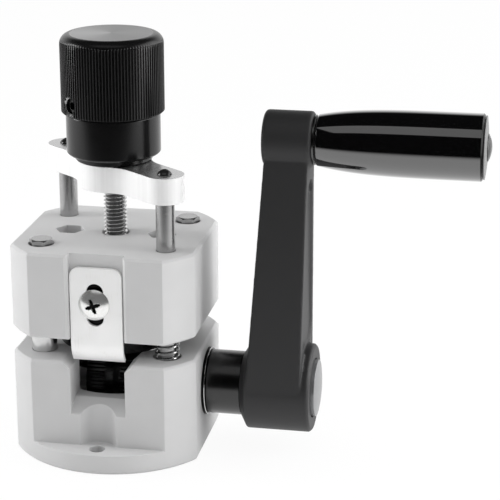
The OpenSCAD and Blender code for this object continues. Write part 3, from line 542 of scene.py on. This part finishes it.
def dress(piece, *nodes, smooth=CREASE, finish=None, rides=True):
    """Gives a finished piece its material, its body and the nodes that it stands for."""
    slot = SLOT_OF[nodes[0]]
    piece.data.materials.clear()
    piece.data.materials.append(finish_of(finish or slot))
    only(piece)
    bpy.ops.object.shade_smooth_by_angle(angle=smooth)
    apply_modifier(piece, "WEIGHTED_NORMAL", mode="FACE_AREA", weight=50, keep_sharp=True)
    if rides:
        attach(piece, BODY_OF[nodes[0]])
    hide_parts(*nodes)
    return piece


def dress_node(node):
    """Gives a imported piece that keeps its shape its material."""
    holder = NODES[node].data
    holder.materials.clear()
    holder.materials.append(finish_of(SLOT_OF[node]))


def merged_copy(node):
    """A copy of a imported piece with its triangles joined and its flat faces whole."""
    piece = bpy.data.objects.new("finished_" + node, NODES[node].data.copy())
    bpy.context.collection.objects.link(piece)
    edit_all(piece)
    bpy.ops.mesh.remove_doubles(threshold=MERGE)
    bpy.ops.mesh.dissolve_limited(angle_limit=FLAT_ENOUGH)
    close_edit()
    return piece


def soften(node, radius, segments=2, finish=None, piece=None):
    """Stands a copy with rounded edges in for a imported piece."""
    piece = piece or merged_copy(node)
    apply_modifier(piece, "BEVEL", width=radius, segments=segments, limit_method="ANGLE",
                   angle_limit=SOFT_LIMIT, harden_normals=False)
    return dress(piece, node, finish=finish)


def turned(name, stations, steps, height=None, capped=False):
    """A round piece from its (place, radius) stations, about Z, or about X at the height that is given."""
    upright = height is None
    start, radius = stations[0]
    bpy.ops.mesh.primitive_circle_add(
        vertices=steps, radius=radius, fill_type="NOTHING",
        location=(0, 0, start) if upright else (start, 0, height),
        rotation=(0, 0 if upright else math.pi / 2, 0))
    piece = bpy.context.active_object
    piece.name = name
    settle(piece)
    edit_all(piece)
    for place, next_radius in stations[1:]:
        step = place - start
        share = next_radius / radius
        bpy.ops.mesh.extrude_region_move(
            TRANSFORM_OT_translate={"value": (0, 0, step) if upright else (step, 0, 0)})
        bpy.ops.transform.resize(value=(share, share, 1) if upright else (1, share, share),
                                 center_override=(0, 0, place) if upright else (place, 0, height))
        start, radius = place, next_radius
    bpy.ops.mesh.select_all(action="SELECT")
    bpy.ops.mesh.remove_doubles(threshold=MERGE)
    if capped:
        bpy.ops.mesh.select_all(action="DESELECT")
        bpy.ops.mesh.select_non_manifold(extend=False)
        bpy.ops.mesh.fill_holes(sides=0)
        bpy.ops.mesh.select_all(action="SELECT")
    bpy.ops.mesh.normals_make_consistent(inside=False)
    close_edit()
    return piece


def cut_with(piece, cutter):
    """Cuts a closed shape out of a piece."""
    apply_modifier(piece, "BOOLEAN", object=cutter, operation="DIFFERENCE", solver="EXACT")
    bpy.data.objects.remove(cutter)


def paint(piece, finish, test):
    """Gives the faces that pass a test of centre and normal a finish of their own."""
    piece.data.materials.append(finish_of(finish))
    last = len(piece.data.materials) - 1
    for face in piece.data.polygons:
        if test(face.center, face.normal):
            face.material_index = last


class BuildStep:
    """What the operators below share."""

    bl_options = {"REGISTER", "UNDO"}

    @property
    def sizes(self):
        return bpy.context.scene.stripper_sizes


class BuildBlocks(BuildStep, bpy.types.Operator):
    """Round the edges of the base block and the head block"""

    bl_idname = "stripper.blocks"
    bl_label = "Blocks"

    def execute(self, context):
        for node in ("base_block", "head_block"):
            soften(node, self.sizes.block_edge, 3)
        return {"FINISHED"}


class BuildPosts(BuildStep, bpy.types.Operator):
    """Finish the posts, the guide pins, the crossbar and their screws"""

    bl_idname = "stripper.posts"
    bl_label = "Posts and crossbar"

    def execute(self, context):
        for node in ("post_right", "post_left"):
            soften(node, self.sizes.screw_edge, finish="ground_steel")
        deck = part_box("head_block")[1].z
        for node in ("guide_pin_left", "guide_pin_right"):
            pin = soften(node, self.sizes.screw_edge, finish="pin_steel")
            paint(pin, "ground_steel", lambda centre, normal: centre.z > deck)
        crossbar = soften("crossbar", self.sizes.block_edge, 3)
        # The crossbar's top faces get the darker colour as painted shade
        paint(crossbar, "milled", lambda centre, normal: normal.z > STRAIGHT)
        for node in ("crossbar_screws", "post_screws"):
            soften(node, self.sizes.screw_edge)
        return {"FINISHED"}


class BuildSpindle(BuildStep, bpy.types.Operator):
    """Cut a helical thread on the spindle"""

    bl_idname = "stripper.spindle"
    bl_label = "Spindle"

    thread_steps: IntProperty(
        name="Thread steps", description="Faces in one turn of the thread", default=40)
    flank: FloatVectorProperty(
        name="Flank", description="Where the thread's flanks start and end, in shares of the pitch",
        size=4, default=(0.08, 0.44, 0.56, 0.92))
    # Share of the thread's depth that gets the painted shade
    shaded_valley_share: FloatProperty(
        name="Valley", description="Share of the thread's depth that is dark", default=0.4)
    shaded_slope: FloatProperty(
        name="Shaded slope", description="Downward slope from which a flank is dark", default=0.6)

    def execute(self, context):
        low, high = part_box("spindle")
        crest = (high.x - low.x) / 2
        root = crest - self.sizes.thread_depth
        pitch = self.sizes.thread_pitch
        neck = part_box("knob_collar")[0].z
        radii = (root, root, crest, crest, root, root)
        points = [(radius, 0, low.z + share * pitch) for radius, share in zip(radii, (0, *self.flank, 1))]
        piece = new_piece("finished_spindle", points, [(k, k + 1) for k in range(len(points) - 1)])
        turns = math.ceil((neck - low.z) / pitch)
        apply_modifier(piece, "SCREW", angle=FULL_TURN, screw_offset=pitch, iterations=turns,
                       steps=self.thread_steps, render_steps=self.thread_steps, axis="Z",
                       use_merge_vertices=True, merge_threshold=MERGE)
        edit_all(piece)
        bpy.ops.mesh.remove_doubles(threshold=MERGE)
        bpy.ops.mesh.select_all(action="DESELECT")
        bpy.ops.mesh.select_non_manifold(extend=False)
        bpy.ops.mesh.fill_holes(sides=0)
        bpy.ops.mesh.select_all(action="SELECT")
        bpy.ops.mesh.normals_make_consistent(inside=False)
        close_edit()
        dress(piece, "spindle", finish="thread")
        # The thread's valleys and downward flanks get the dark colour as painted shade
        valley = root + self.shaded_valley_share * (crest - root)
        paint(piece, "valley",
              lambda centre, normal: centre.xy.length < valley or normal.z < -self.shaded_slope)
        return {"FINISHED"}


class BuildKnob(BuildStep, bpy.types.Operator):
    """Turn the knob's ridged cap, and finish its collar and screws"""

    bl_idname = "stripper.knob"
    bl_label = "Knob"

    ridges: IntProperty(name="Ridges", description="Ridges round the cap", min=3, default=104)
    ridge_depth: LengthProperty("Ridge depth", "Depth of the grooves", 0.00045)
    # Share of the ridges' depth that gets the painted highlight
    highlight_share: FloatProperty(
        name="Highlight share", description="Share of the ridges' depth that is worn lighter", default=0.25)
    shoulder: LengthProperty("Shoulder", "Rounding of the cap's top edge", 0.004)
    foot: LengthProperty("Foot", "Bevel of the cap's lower edge", 0.0004)
    shoulder_steps: IntProperty(
        name="Shoulder steps", description="Faces up the shoulder", min=1, default=12)
    crease: AngleProperty("Crease", "Angle over which the ridges' edges stay sharp", 28)
    stem_room: LengthProperty("Stem room", "Room over the collar's stem", 0.0003)
    bore: LengthProperty("Bore", "Radius of the bore that takes the collar's stem", 0.01405)
    screw_turn: AngleProperty("Screw turn", "Where the set screw stands round the cap", 227.5)
    screw_hole: LengthProperty("Screw hole", "Radius of the set screw's hole", 0.00305)
    screw_mouth: LengthProperty("Screw mouth", "Width of the chamfer round the set screw's hole", 0.0009)
    mouth_depth: FloatProperty(
        name="Mouth depth", description="How far in the chamfer is bare, in shares of its width", default=1.4)
    hole_steps: IntProperty(
        name="Hole steps", description="Faces round the set screw's hole", min=8, default=32)

    def execute(self, context):
        soften("knob_collar", self.sizes.part_edge)
        soften("knob_set_screw", self.sizes.screw_edge, finish="recess")
        soften("knob_screw", self.sizes.screw_edge)
        low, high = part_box("knob_cap")
        crest = (high.x - low.x) / 2
        piece = self.ridged(low.z, high.z, crest)
        height = sum(corner.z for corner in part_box("knob_set_screw")) / 2
        cut_with(piece, self.screw_cutter(crest, height))
        dress(piece, "knob_cap", smooth=self.crease, finish="groove")
        # The outer faces of the ridges get the lighter colour as a painted highlight on the crests
        outer = crest - self.highlight_share * self.ridge_depth
        paint(piece, "ridge", lambda centre, normal: centre.xy.length > outer and normal.z < TILTED)
        along = Vector((math.cos(self.screw_turn), math.sin(self.screw_turn), 0))
        # The knob's flat top gets the lighter colour: painted sheen and a painted highlight
        paint(piece, "faced_black", lambda centre, normal: centre.z > high.z - MERGE and normal.z > STRAIGHT)
        axis = Vector((0, 0, height))
        mouth = self.screw_hole + self.screw_mouth
        depth = crest - self.mouth_depth * self.screw_mouth
        paint(piece, "bare_aluminium", lambda centre, normal: TILTED < normal.dot(along) < STRAIGHT
              and (centre - axis).cross(along).length < mouth and centre.dot(along) > depth)
        return {"FINISHED"}

    def ridged(self, bottom, top, crest):
        """The cap, with grooves that run out on its shoulder."""
        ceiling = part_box("knob_collar")[1].z + self.stem_room
        stations = [(ceiling, self.bore), (bottom, self.bore), (bottom, crest - self.foot),
                    (bottom + self.foot, crest)]
        for k in range(self.shoulder_steps + 1):
            angle = math.pi / 2 * k / self.shoulder_steps
            stations.append((top - self.shoulder * (1 - math.sin(angle)),
                             crest - self.shoulder * (1 - math.cos(angle))))
        piece = turned("finished_knob_cap", stations, RIDGE_FACES * self.ridges, capped=True)
        groove = crest - self.ridge_depth
        step = FULL_TURN / (RIDGE_FACES * self.ridges)
        for vertex in piece.data.vertices:
            flat = vertex.co.xy
            face = round(math.atan2(flat.y, flat.x) / step) % RIDGE_FACES
            if flat.length > groove and face > 1:
                vertex.co.xy = flat * (groove / flat.length)
        return piece

    def screw_cutter(self, crest, height):
        mouth = self.screw_hole + self.screw_mouth
        stations = [(self.bore - self.screw_mouth, self.screw_hole),
                    (crest - self.screw_mouth, self.screw_hole),
                    (crest, mouth), (crest + self.screw_mouth, mouth)]
        cutter = turned("cutter", stations, self.hole_steps, height, capped=True)
        cutter.rotation_euler.z = self.screw_turn
        settle(cutter)
        return cutter


class BuildGuide(BuildStep, bpy.types.Operator):
    """Finish the guide plate, its screw and the dark sheet of painted shade behind its slot"""

    bl_idname = "stripper.guide"
    bl_label = "Guide plate"

    recess_reach: LengthProperty("Recess reach", "Radius that holds the screw's cross recess", 0.0034)
    recess_turn: AngleProperty("Recess turn", "Angle of the cross recess", 20)
    recess_depths: FloatVectorProperty(
        name="Recess depths", description="How far behind the screw's front the dark recess starts and ends",
        size=2, unit="LENGTH", default=(0.0006, 0.0025))
    # The dark sheet behind the slot is painted shade, not a part of the stripper
    shade_sheet_place: FloatVectorProperty(
        name="Pad", description="Middle of the dark pad behind the slot", subtype="TRANSLATION",
        unit="LENGTH", default=(-0.0007, -0.03099, 0.06825))
    shade_sheet_size: FloatVectorProperty(
        name="Pad size", description="Width, thickness and height of the pad",
        unit="LENGTH", default=(0.0076, 0.0001, 0.0193))
    shade_sheet_edge: LengthProperty("Pad edge", "Rounding of the pad's edges", 0.00002)
    wing: FloatVectorProperty(
        name="Wing", description="Length, depth and width of the wings at the middle of the recess",
        unit="LENGTH", default=(0.0047, 0.0032, 0.0017))

    def execute(self, context):
        soften("guide_plate", self.sizes.part_edge)
        self.pad(context)
        low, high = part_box("guide_plate_screw")
        axis = (low + high) / 2
        screw = merged_copy("guide_plate_screw")
        for turn in (self.recess_turn, self.recess_turn + math.pi / 2):
            bpy.ops.mesh.primitive_cube_add(size=1, location=(axis.x, low.y, axis.z),
                                            rotation=(0, -turn, 0), scale=self.wing)
            cutter = bpy.context.active_object
            settle(cutter)
            cut_with(screw, cutter)
        soften("guide_plate_screw", self.sizes.screw_edge, finish="nickel_plate", piece=screw)
        # The faces inside the cross recess get the near-black finish as painted shade
        near, far = (low.y + depth for depth in self.recess_depths)
        paint(screw, "recess", lambda centre, normal: near < centre.y < far
              and math.hypot(centre.x - axis.x, centre.z - axis.z) < self.recess_reach)
        return {"FINISHED"}

    def pad(self, context):
        """A thin dark sheet on the floor of the head's groove: painted shade seen through the plate's slot.
        """
        bpy.ops.mesh.primitive_cube_add(size=1, location=self.shade_sheet_place, scale=self.shade_sheet_size)
        piece = context.active_object
        piece.name = "slot_pad"
        settle(piece)
        apply_modifier(piece, "BEVEL", width=self.shade_sheet_edge, segments=2)
        piece.data.materials.append(finish_of("recess"))
        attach(piece, BODY_OF["head_block"])


class BuildSprings(BuildStep, bpy.types.Operator):
    """Wind the two springs"""

    bl_idname = "stripper.springs"
    bl_label = "Springs"

    curl_steps: IntProperty(name="Curl steps", description="Points in one curl", min=8, default=24)
    wire_steps: IntProperty(name="Wire steps", description="Roundness of the wire", min=0, default=3)
    start: FloatProperty(
        name="Start", description="Where the wire starts, in turns from the crank side", default=0.25)
    closed_rise: FloatProperty(
        name="Closed rise", description="Rise of a closed end curl, in wires", min=1, default=1.05)

    def execute(self, context):
        for node in ("spring_right", "spring_left"):
            self.wind(node)
        return {"FINISHED"}

    def wind(self, node):
        low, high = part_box(node)
        wire = self.sizes.spring_wire
        centre = (low + high) / 2
        radius = (high.x - low.x - wire) / 2
        turns = self.sizes.spring_curls
        curve = bpy.data.curves.new("finished_" + node, "CURVE")
        curve.dimensions = "3D"
        curve.bevel_depth = wire / 2
        curve.bevel_resolution = self.wire_steps
        curve.use_fill_caps = True
        line = curve.splines.new("POLY")
        line.points.add(turns * self.curl_steps)
        bottom, top = low.z + wire / 2, high.z - wire / 2
        lift = wire * self.closed_rise
        for k, point in enumerate(line.points):
            turn = k / self.curl_steps
            if turn < 1:
                z = bottom + lift * turn
            elif turn > turns - 1:
                z = top - lift * (turns - turn)
            else:
                z = bottom + lift + (top - bottom - 2 * lift) * (turn - 1) / (turns - 2)
            angle = FULL_TURN * (turn + self.start)
            point.co = (centre.x + radius * math.cos(angle), centre.y + radius * math.sin(angle), z, 1)
        piece = bpy.data.objects.new(curve.name, curve)
        bpy.context.collection.objects.link(piece)
        only(piece)
        bpy.ops.object.convert(target="MESH")
        piece = dress(bpy.context.active_object, node, smooth=SMOOTH_CREASE, rides=False)
        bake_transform(piece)


class BuildDrive(BuildStep, bpy.types.Operator):
    """Finish the shaft, the feed roller, the bearings and the blade unit"""

    bl_idname = "stripper.drive"
    bl_label = "Drive and blade"

    skirt: LengthProperty("Skirt", "How far the blade carrier's foot is drawn down towards the base", 0.0017)

    def execute(self, context):
        rings = soften("bearing_outer_rings", 2 * self.sizes.part_edge)
        # The rings' flat face and rim get the near-black finish as painted shade of the gap round the sleeve;
        # the bevels keep the steel
        paint(rings, "recess", lambda centre, normal: not TILTED < abs(normal.x) < STRAIGHT)
        for node in ("drive_shaft", "crank_sleeve", "bearing_inner_rings", "shaft_clip", "feed_roller"):
            soften(node, self.sizes.part_edge)
        carrier = merged_copy("blade_carrier")
        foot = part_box("blade_carrier")[0].z
        for vertex in carrier.data.vertices:
            if vertex.co.z < foot + MERGE:
                vertex.co.z -= self.skirt
        soften("blade_carrier", self.sizes.part_edge, piece=carrier)
        for node in ("bearing_balls", "bearing_shields", "roller_set_screw", "crank_key", "thrust_pad",
                     "carrier_bolts", "blade_axle", "cutting_blade", "blade_bushing", "blade_spacers"):
            dress_node(node)
        return {"FINISHED"}


class BuildArm(BuildStep, bpy.types.Operator):
    """Blend the crank arm as a casting, and finish its screw, washer and cap"""

    bl_idname = "stripper.arm"
    bl_label = "Crank arm"

    outer_round: LengthProperty("Outer rounding", "Rounding of the arm's outer long edges", 0.0026)
    inner_round: LengthProperty("Inner rounding", "Rounding of the arm's inner long edges", 0.0012)
    long_edge: LengthProperty("Long edge", "Least height of an edge that is rounded", 0.05)
    corner: LengthProperty("Corner", "Least distance of such an edge from the arm's middle plane", 0.0085)
    round_steps: IntProperty(
        name="Rounding steps", description="Faces over a rounding", min=1, default=4)

    def execute(self, context):
        piece = merged_copy("crank_arm")
        self.round_long_edges(piece)
        apply_modifier(piece, "REMESH", mode="VOXEL", voxel_size=self.sizes.cast_voxel)
        apply_modifier(piece, "SMOOTH", factor=0.5, iterations=self.sizes.cast_smoothing)
        dress(piece, "crank_arm", smooth=SMOOTH_CREASE)
        for node in ("hub_washer", "hub_screw", "hub_cap"):
            soften(node, self.sizes.part_edge)
        return {"FINISHED"}

    def round_long_edges(self, piece):
        """Rounds the four long edges of the arm, more on its outer side."""
        low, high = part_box("crank_arm")
        middle = (low.x + high.x) / 2
        for outer, radius in ((True, self.outer_round), (False, self.inner_round)):
            edit_all(piece)
            bpy.ops.mesh.select_mode(type="EDGE")
            bpy.ops.mesh.select_all(action="DESELECT")
            close_edit()
            points = piece.data.vertices
            for edge in piece.data.edges:
                start, end = (points[k].co for k in edge.vertices)
                tall = abs(start.z - end.z) > self.long_edge
                at_side = (start.x + end.x > 2 * middle) == outer
                edge.select = tall and at_side and max(abs(start.y), abs(end.y)) > self.corner
            bpy.ops.object.mode_set(mode="EDIT")
            bpy.ops.mesh.bevel(offset=radius, segments=self.round_steps, affect="EDGES")
            close_edit()


class BuildGrip(BuildStep, bpy.types.Operator):
    """Turn the grip, and finish its spindle, washer, end cap and screw"""

    bl_idname = "stripper.grip"
    bl_label = "Grip"

    near_radius: LengthProperty("Near radius", "Radius of the grip at the arm", 0.0103)
    swell: FloatProperty(
        name="Swell", description="How early the grip reaches its full width", default=4.5)
    crowding: FloatProperty(
        name="Crowding", description="How much closer the stations stand near the arm", default=1.5)
    stations: IntProperty(name="Stations", description="Rings along the grip", min=2, default=40)
    edge: LengthProperty("Edge", "Bevel at the grip's ends", 0.0006)
    bore_room: LengthProperty("Bore room", "Room round the spindle", 0.00005)

    def execute(self, context):
        low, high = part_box("grip")
        inner_low, inner_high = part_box("grip_spindle")
        bore = (inner_high.y - inner_low.y) / 2 + self.bore_room
        far = (high.y - low.y) / 2
        height = (low.z + high.z) / 2
        length = high.x - low.x
        edge = self.edge
        stations = [(low.x, bore), (low.x, self.near_radius - edge)]
        for k in range(self.stations + 1):
            share = (k / self.stations) ** self.crowding
            place = low.x + edge + (length - 2 * edge) * share
            stations.append((place, far - (far - self.near_radius) * (1 - share) ** self.swell))
        stations += [(high.x, far - edge), (high.x, bore), (low.x, bore)]
        piece = dress(turned("finished_grip", stations, self.sizes.turn_steps, height), "grip")
        # The grip's far end gets the near-black finish as painted shade, in place of the reflection on its
        # bevel
        paint(piece, "recess", lambda centre, normal: centre.x > high.x - edge)
        soften("grip_spindle", self.sizes.part_edge)
        soften("grip_end_cap", self.sizes.part_edge, finish="end_cap")
        soften("grip_screw", self.sizes.part_edge, finish="dark_steel")
        soften("grip_washer", self.sizes.part_edge, finish="worn_steel")
        return {"FINISHED"}


class BuildStage(bpy.types.Operator):
    """Set up the camera, the floor, the lamps and the surroundings"""

    bl_idname = "stripper.stage"
    bl_label = "Stage"
    bl_options = {"REGISTER", "UNDO"}

    def execute(self, context):
        stage = context.scene.stripper_stage
        context.scene.view_settings.view_transform = "Standard"
        self.camera(context, stage)
        self.floor(stage)
        for name, place, size, target in LAMPS:
            self.lamp(name, place, size, target, getattr(stage, name + "_power"))
        self.surroundings(context, stage)
        return {"FINISHED"}

    def camera(self, context, stage):
        bpy.ops.object.camera_add(location=stage.place, rotation=(stage.tilt, 0, stage.swing))
        camera = context.active_object
        camera.name = "photograph_view"
        camera.data.lens = stage.lens
        camera.data.sensor_width = 36
        context.scene.camera = camera

    def lamp(self, name, place, size, target, power):
        aim = (Vector(target) - Vector(place)).to_track_quat("-Z", "Y").to_euler()
        bpy.ops.object.light_add(type="AREA", location=place, rotation=aim)
        lamp = bpy.context.active_object
        lamp.name = name
        lamp.data.shape = "RECTANGLE"
        lamp.data.size, lamp.data.size_y = size
        lamp.data.energy = power

    def floor(self, stage):
        bpy.ops.mesh.primitive_plane_add(size=stage.floor_size, location=(0, 0, -stage.floor_gap))
        floor = bpy.context.active_object
        floor.name = "floor"
        settle(floor)
        material = bpy.data.materials.new("floor")
        material.use_nodes = True
        shader = Shader(material.node_tree)
        camera_ray = shader.node("ShaderNodeLightPath", output="Is Camera Ray")
        glossy_ray = shader.node("ShaderNodeLightPath", output="Is Glossy Ray")
        clear_ray = shader.node("ShaderNodeLightPath", output="Is Transmission Ray")
        spot = shader.node("ShaderNodeTexCoord", output="Object")
        depth = shader.node("ShaderNodeSeparateXYZ", None, {0: spot}, output="Y")
        mirrored = shader.node("ShaderNodeMapRange", {"interpolation_type": "SMOOTHSTEP"},
                               {"Value": depth, "From Min": stage.sheet_end, "From Max": stage.sheet_start,
                                "To Min": stage.dark_room, "To Max": 1.0})
        strength = shader.node("ShaderNodeMix", {"data_type": "FLOAT"}, {0: glossy_ray, 2: 1.0, 3: mirrored})
        paint = shader.node("ShaderNodeBsdfDiffuse", None, {"Color": tuple(stage.floor_colour) + (1,)})
        glow = shader.node("ShaderNodeEmission", None, {"Color": (1, 1, 1, 1), "Strength": strength})
        share = camera_ray * stage.floor_glow + glossy_ray + clear_ray
        seen = shader.node("ShaderNodeMixShader", None, {0: share, 1: paint, 2: glow})
        shader.node("ShaderNodeOutputMaterial", None, {"Surface": seen})
        floor.data.materials.append(material)

    def surroundings(self, context, stage):
        world = bpy.data.worlds.new("studio")
        context.scene.world = world
        world.use_nodes = True
        shader = Shader(world.node_tree)
        way = shader.node("ShaderNodeTexCoord", output="Generated")
        back = shader.node("ShaderNodeSeparateXYZ", None, {0: way}, output="Y")
        rise = shader.node("ShaderNodeSeparateXYZ", None, {0: way}, output="Z")
        camera_ray = shader.node("ShaderNodeLightPath", output="Is Camera Ray")
        glossy_ray = shader.node("ShaderNodeLightPath", output="Is Glossy Ray")
        clear_ray = shader.node("ShaderNodeLightPath", output="Is Transmission Ray")
        behind = shader.ramp(back * 0.5 + 0.5, BACKDROP_START)
        low = shader.ramp(rise, BACKDROP_TOP)
        backdrop = stage.dark_room + (1.0 - stage.dark_room) * behind * low
        sky = stage.ambient * (
            stage.front_sky + (1.0 - stage.front_sky) * shader.ramp(back * 0.5 + 0.5, SKY))
        mirrored = shader.node("ShaderNodeMix", {"data_type": "FLOAT"},
                               {0: glossy_ray, 2: sky, 3: backdrop})
        strength = shader.node("ShaderNodeMix", {"data_type": "FLOAT"},
                               {0: camera_ray + clear_ray, 2: mirrored, 3: 1.0})
        glow = shader.node("ShaderNodeBackground", None, {"Color": (1, 1, 1, 1), "Strength": strength})
        shader.node("ShaderNodeOutputWorld", None, {"Surface": glow})


STEPS = (BuildStage, BuildBlocks, BuildPosts, BuildSpindle, BuildKnob, BuildGuide, BuildSprings, BuildDrive,
         BuildArm, BuildGrip)


class StripperPanel(bpy.types.Panel):
    """Lists the steps that build the wire stripper"""

    bl_idname = "VIEW3D_PT_stripper"
    bl_label = "Wire stripper"
    bl_space_type = "VIEW_3D"
    bl_region_type = "UI"
    bl_category = "Wire stripper"

    def draw(self, context):
        for step in STEPS:
            self.layout.operator(step.bl_idname)
        scene = context.scene
        for group in (scene.stripper_finish, scene.stripper_sizes, scene.stripper_stage):
            box = self.layout.box()
            for name in group.__annotations__:
                box.prop(group, name)


CLASSES = (StripperFinish, StripperSizes, StripperStage, *STEPS, StripperPanel)


def register():
    for cls in CLASSES:
        bpy.utils.register_class(cls)
    bpy.types.Scene.stripper_finish = PointerProperty(type=StripperFinish)
    bpy.types.Scene.stripper_sizes = PointerProperty(type=StripperSizes)
    bpy.types.Scene.stripper_stage = PointerProperty(type=StripperStage)


def unregister():
    del bpy.types.Scene.stripper_stage
    del bpy.types.Scene.stripper_sizes
    del bpy.types.Scene.stripper_finish
    for cls in reversed(CLASSES):
        bpy.utils.unregister_class(cls)


def main():
    register()
    for step in STEPS:
        family, name = step.bl_idname.split(".")
        getattr(getattr(bpy.ops, family), name)()


if __name__ == "__main__":
    main()
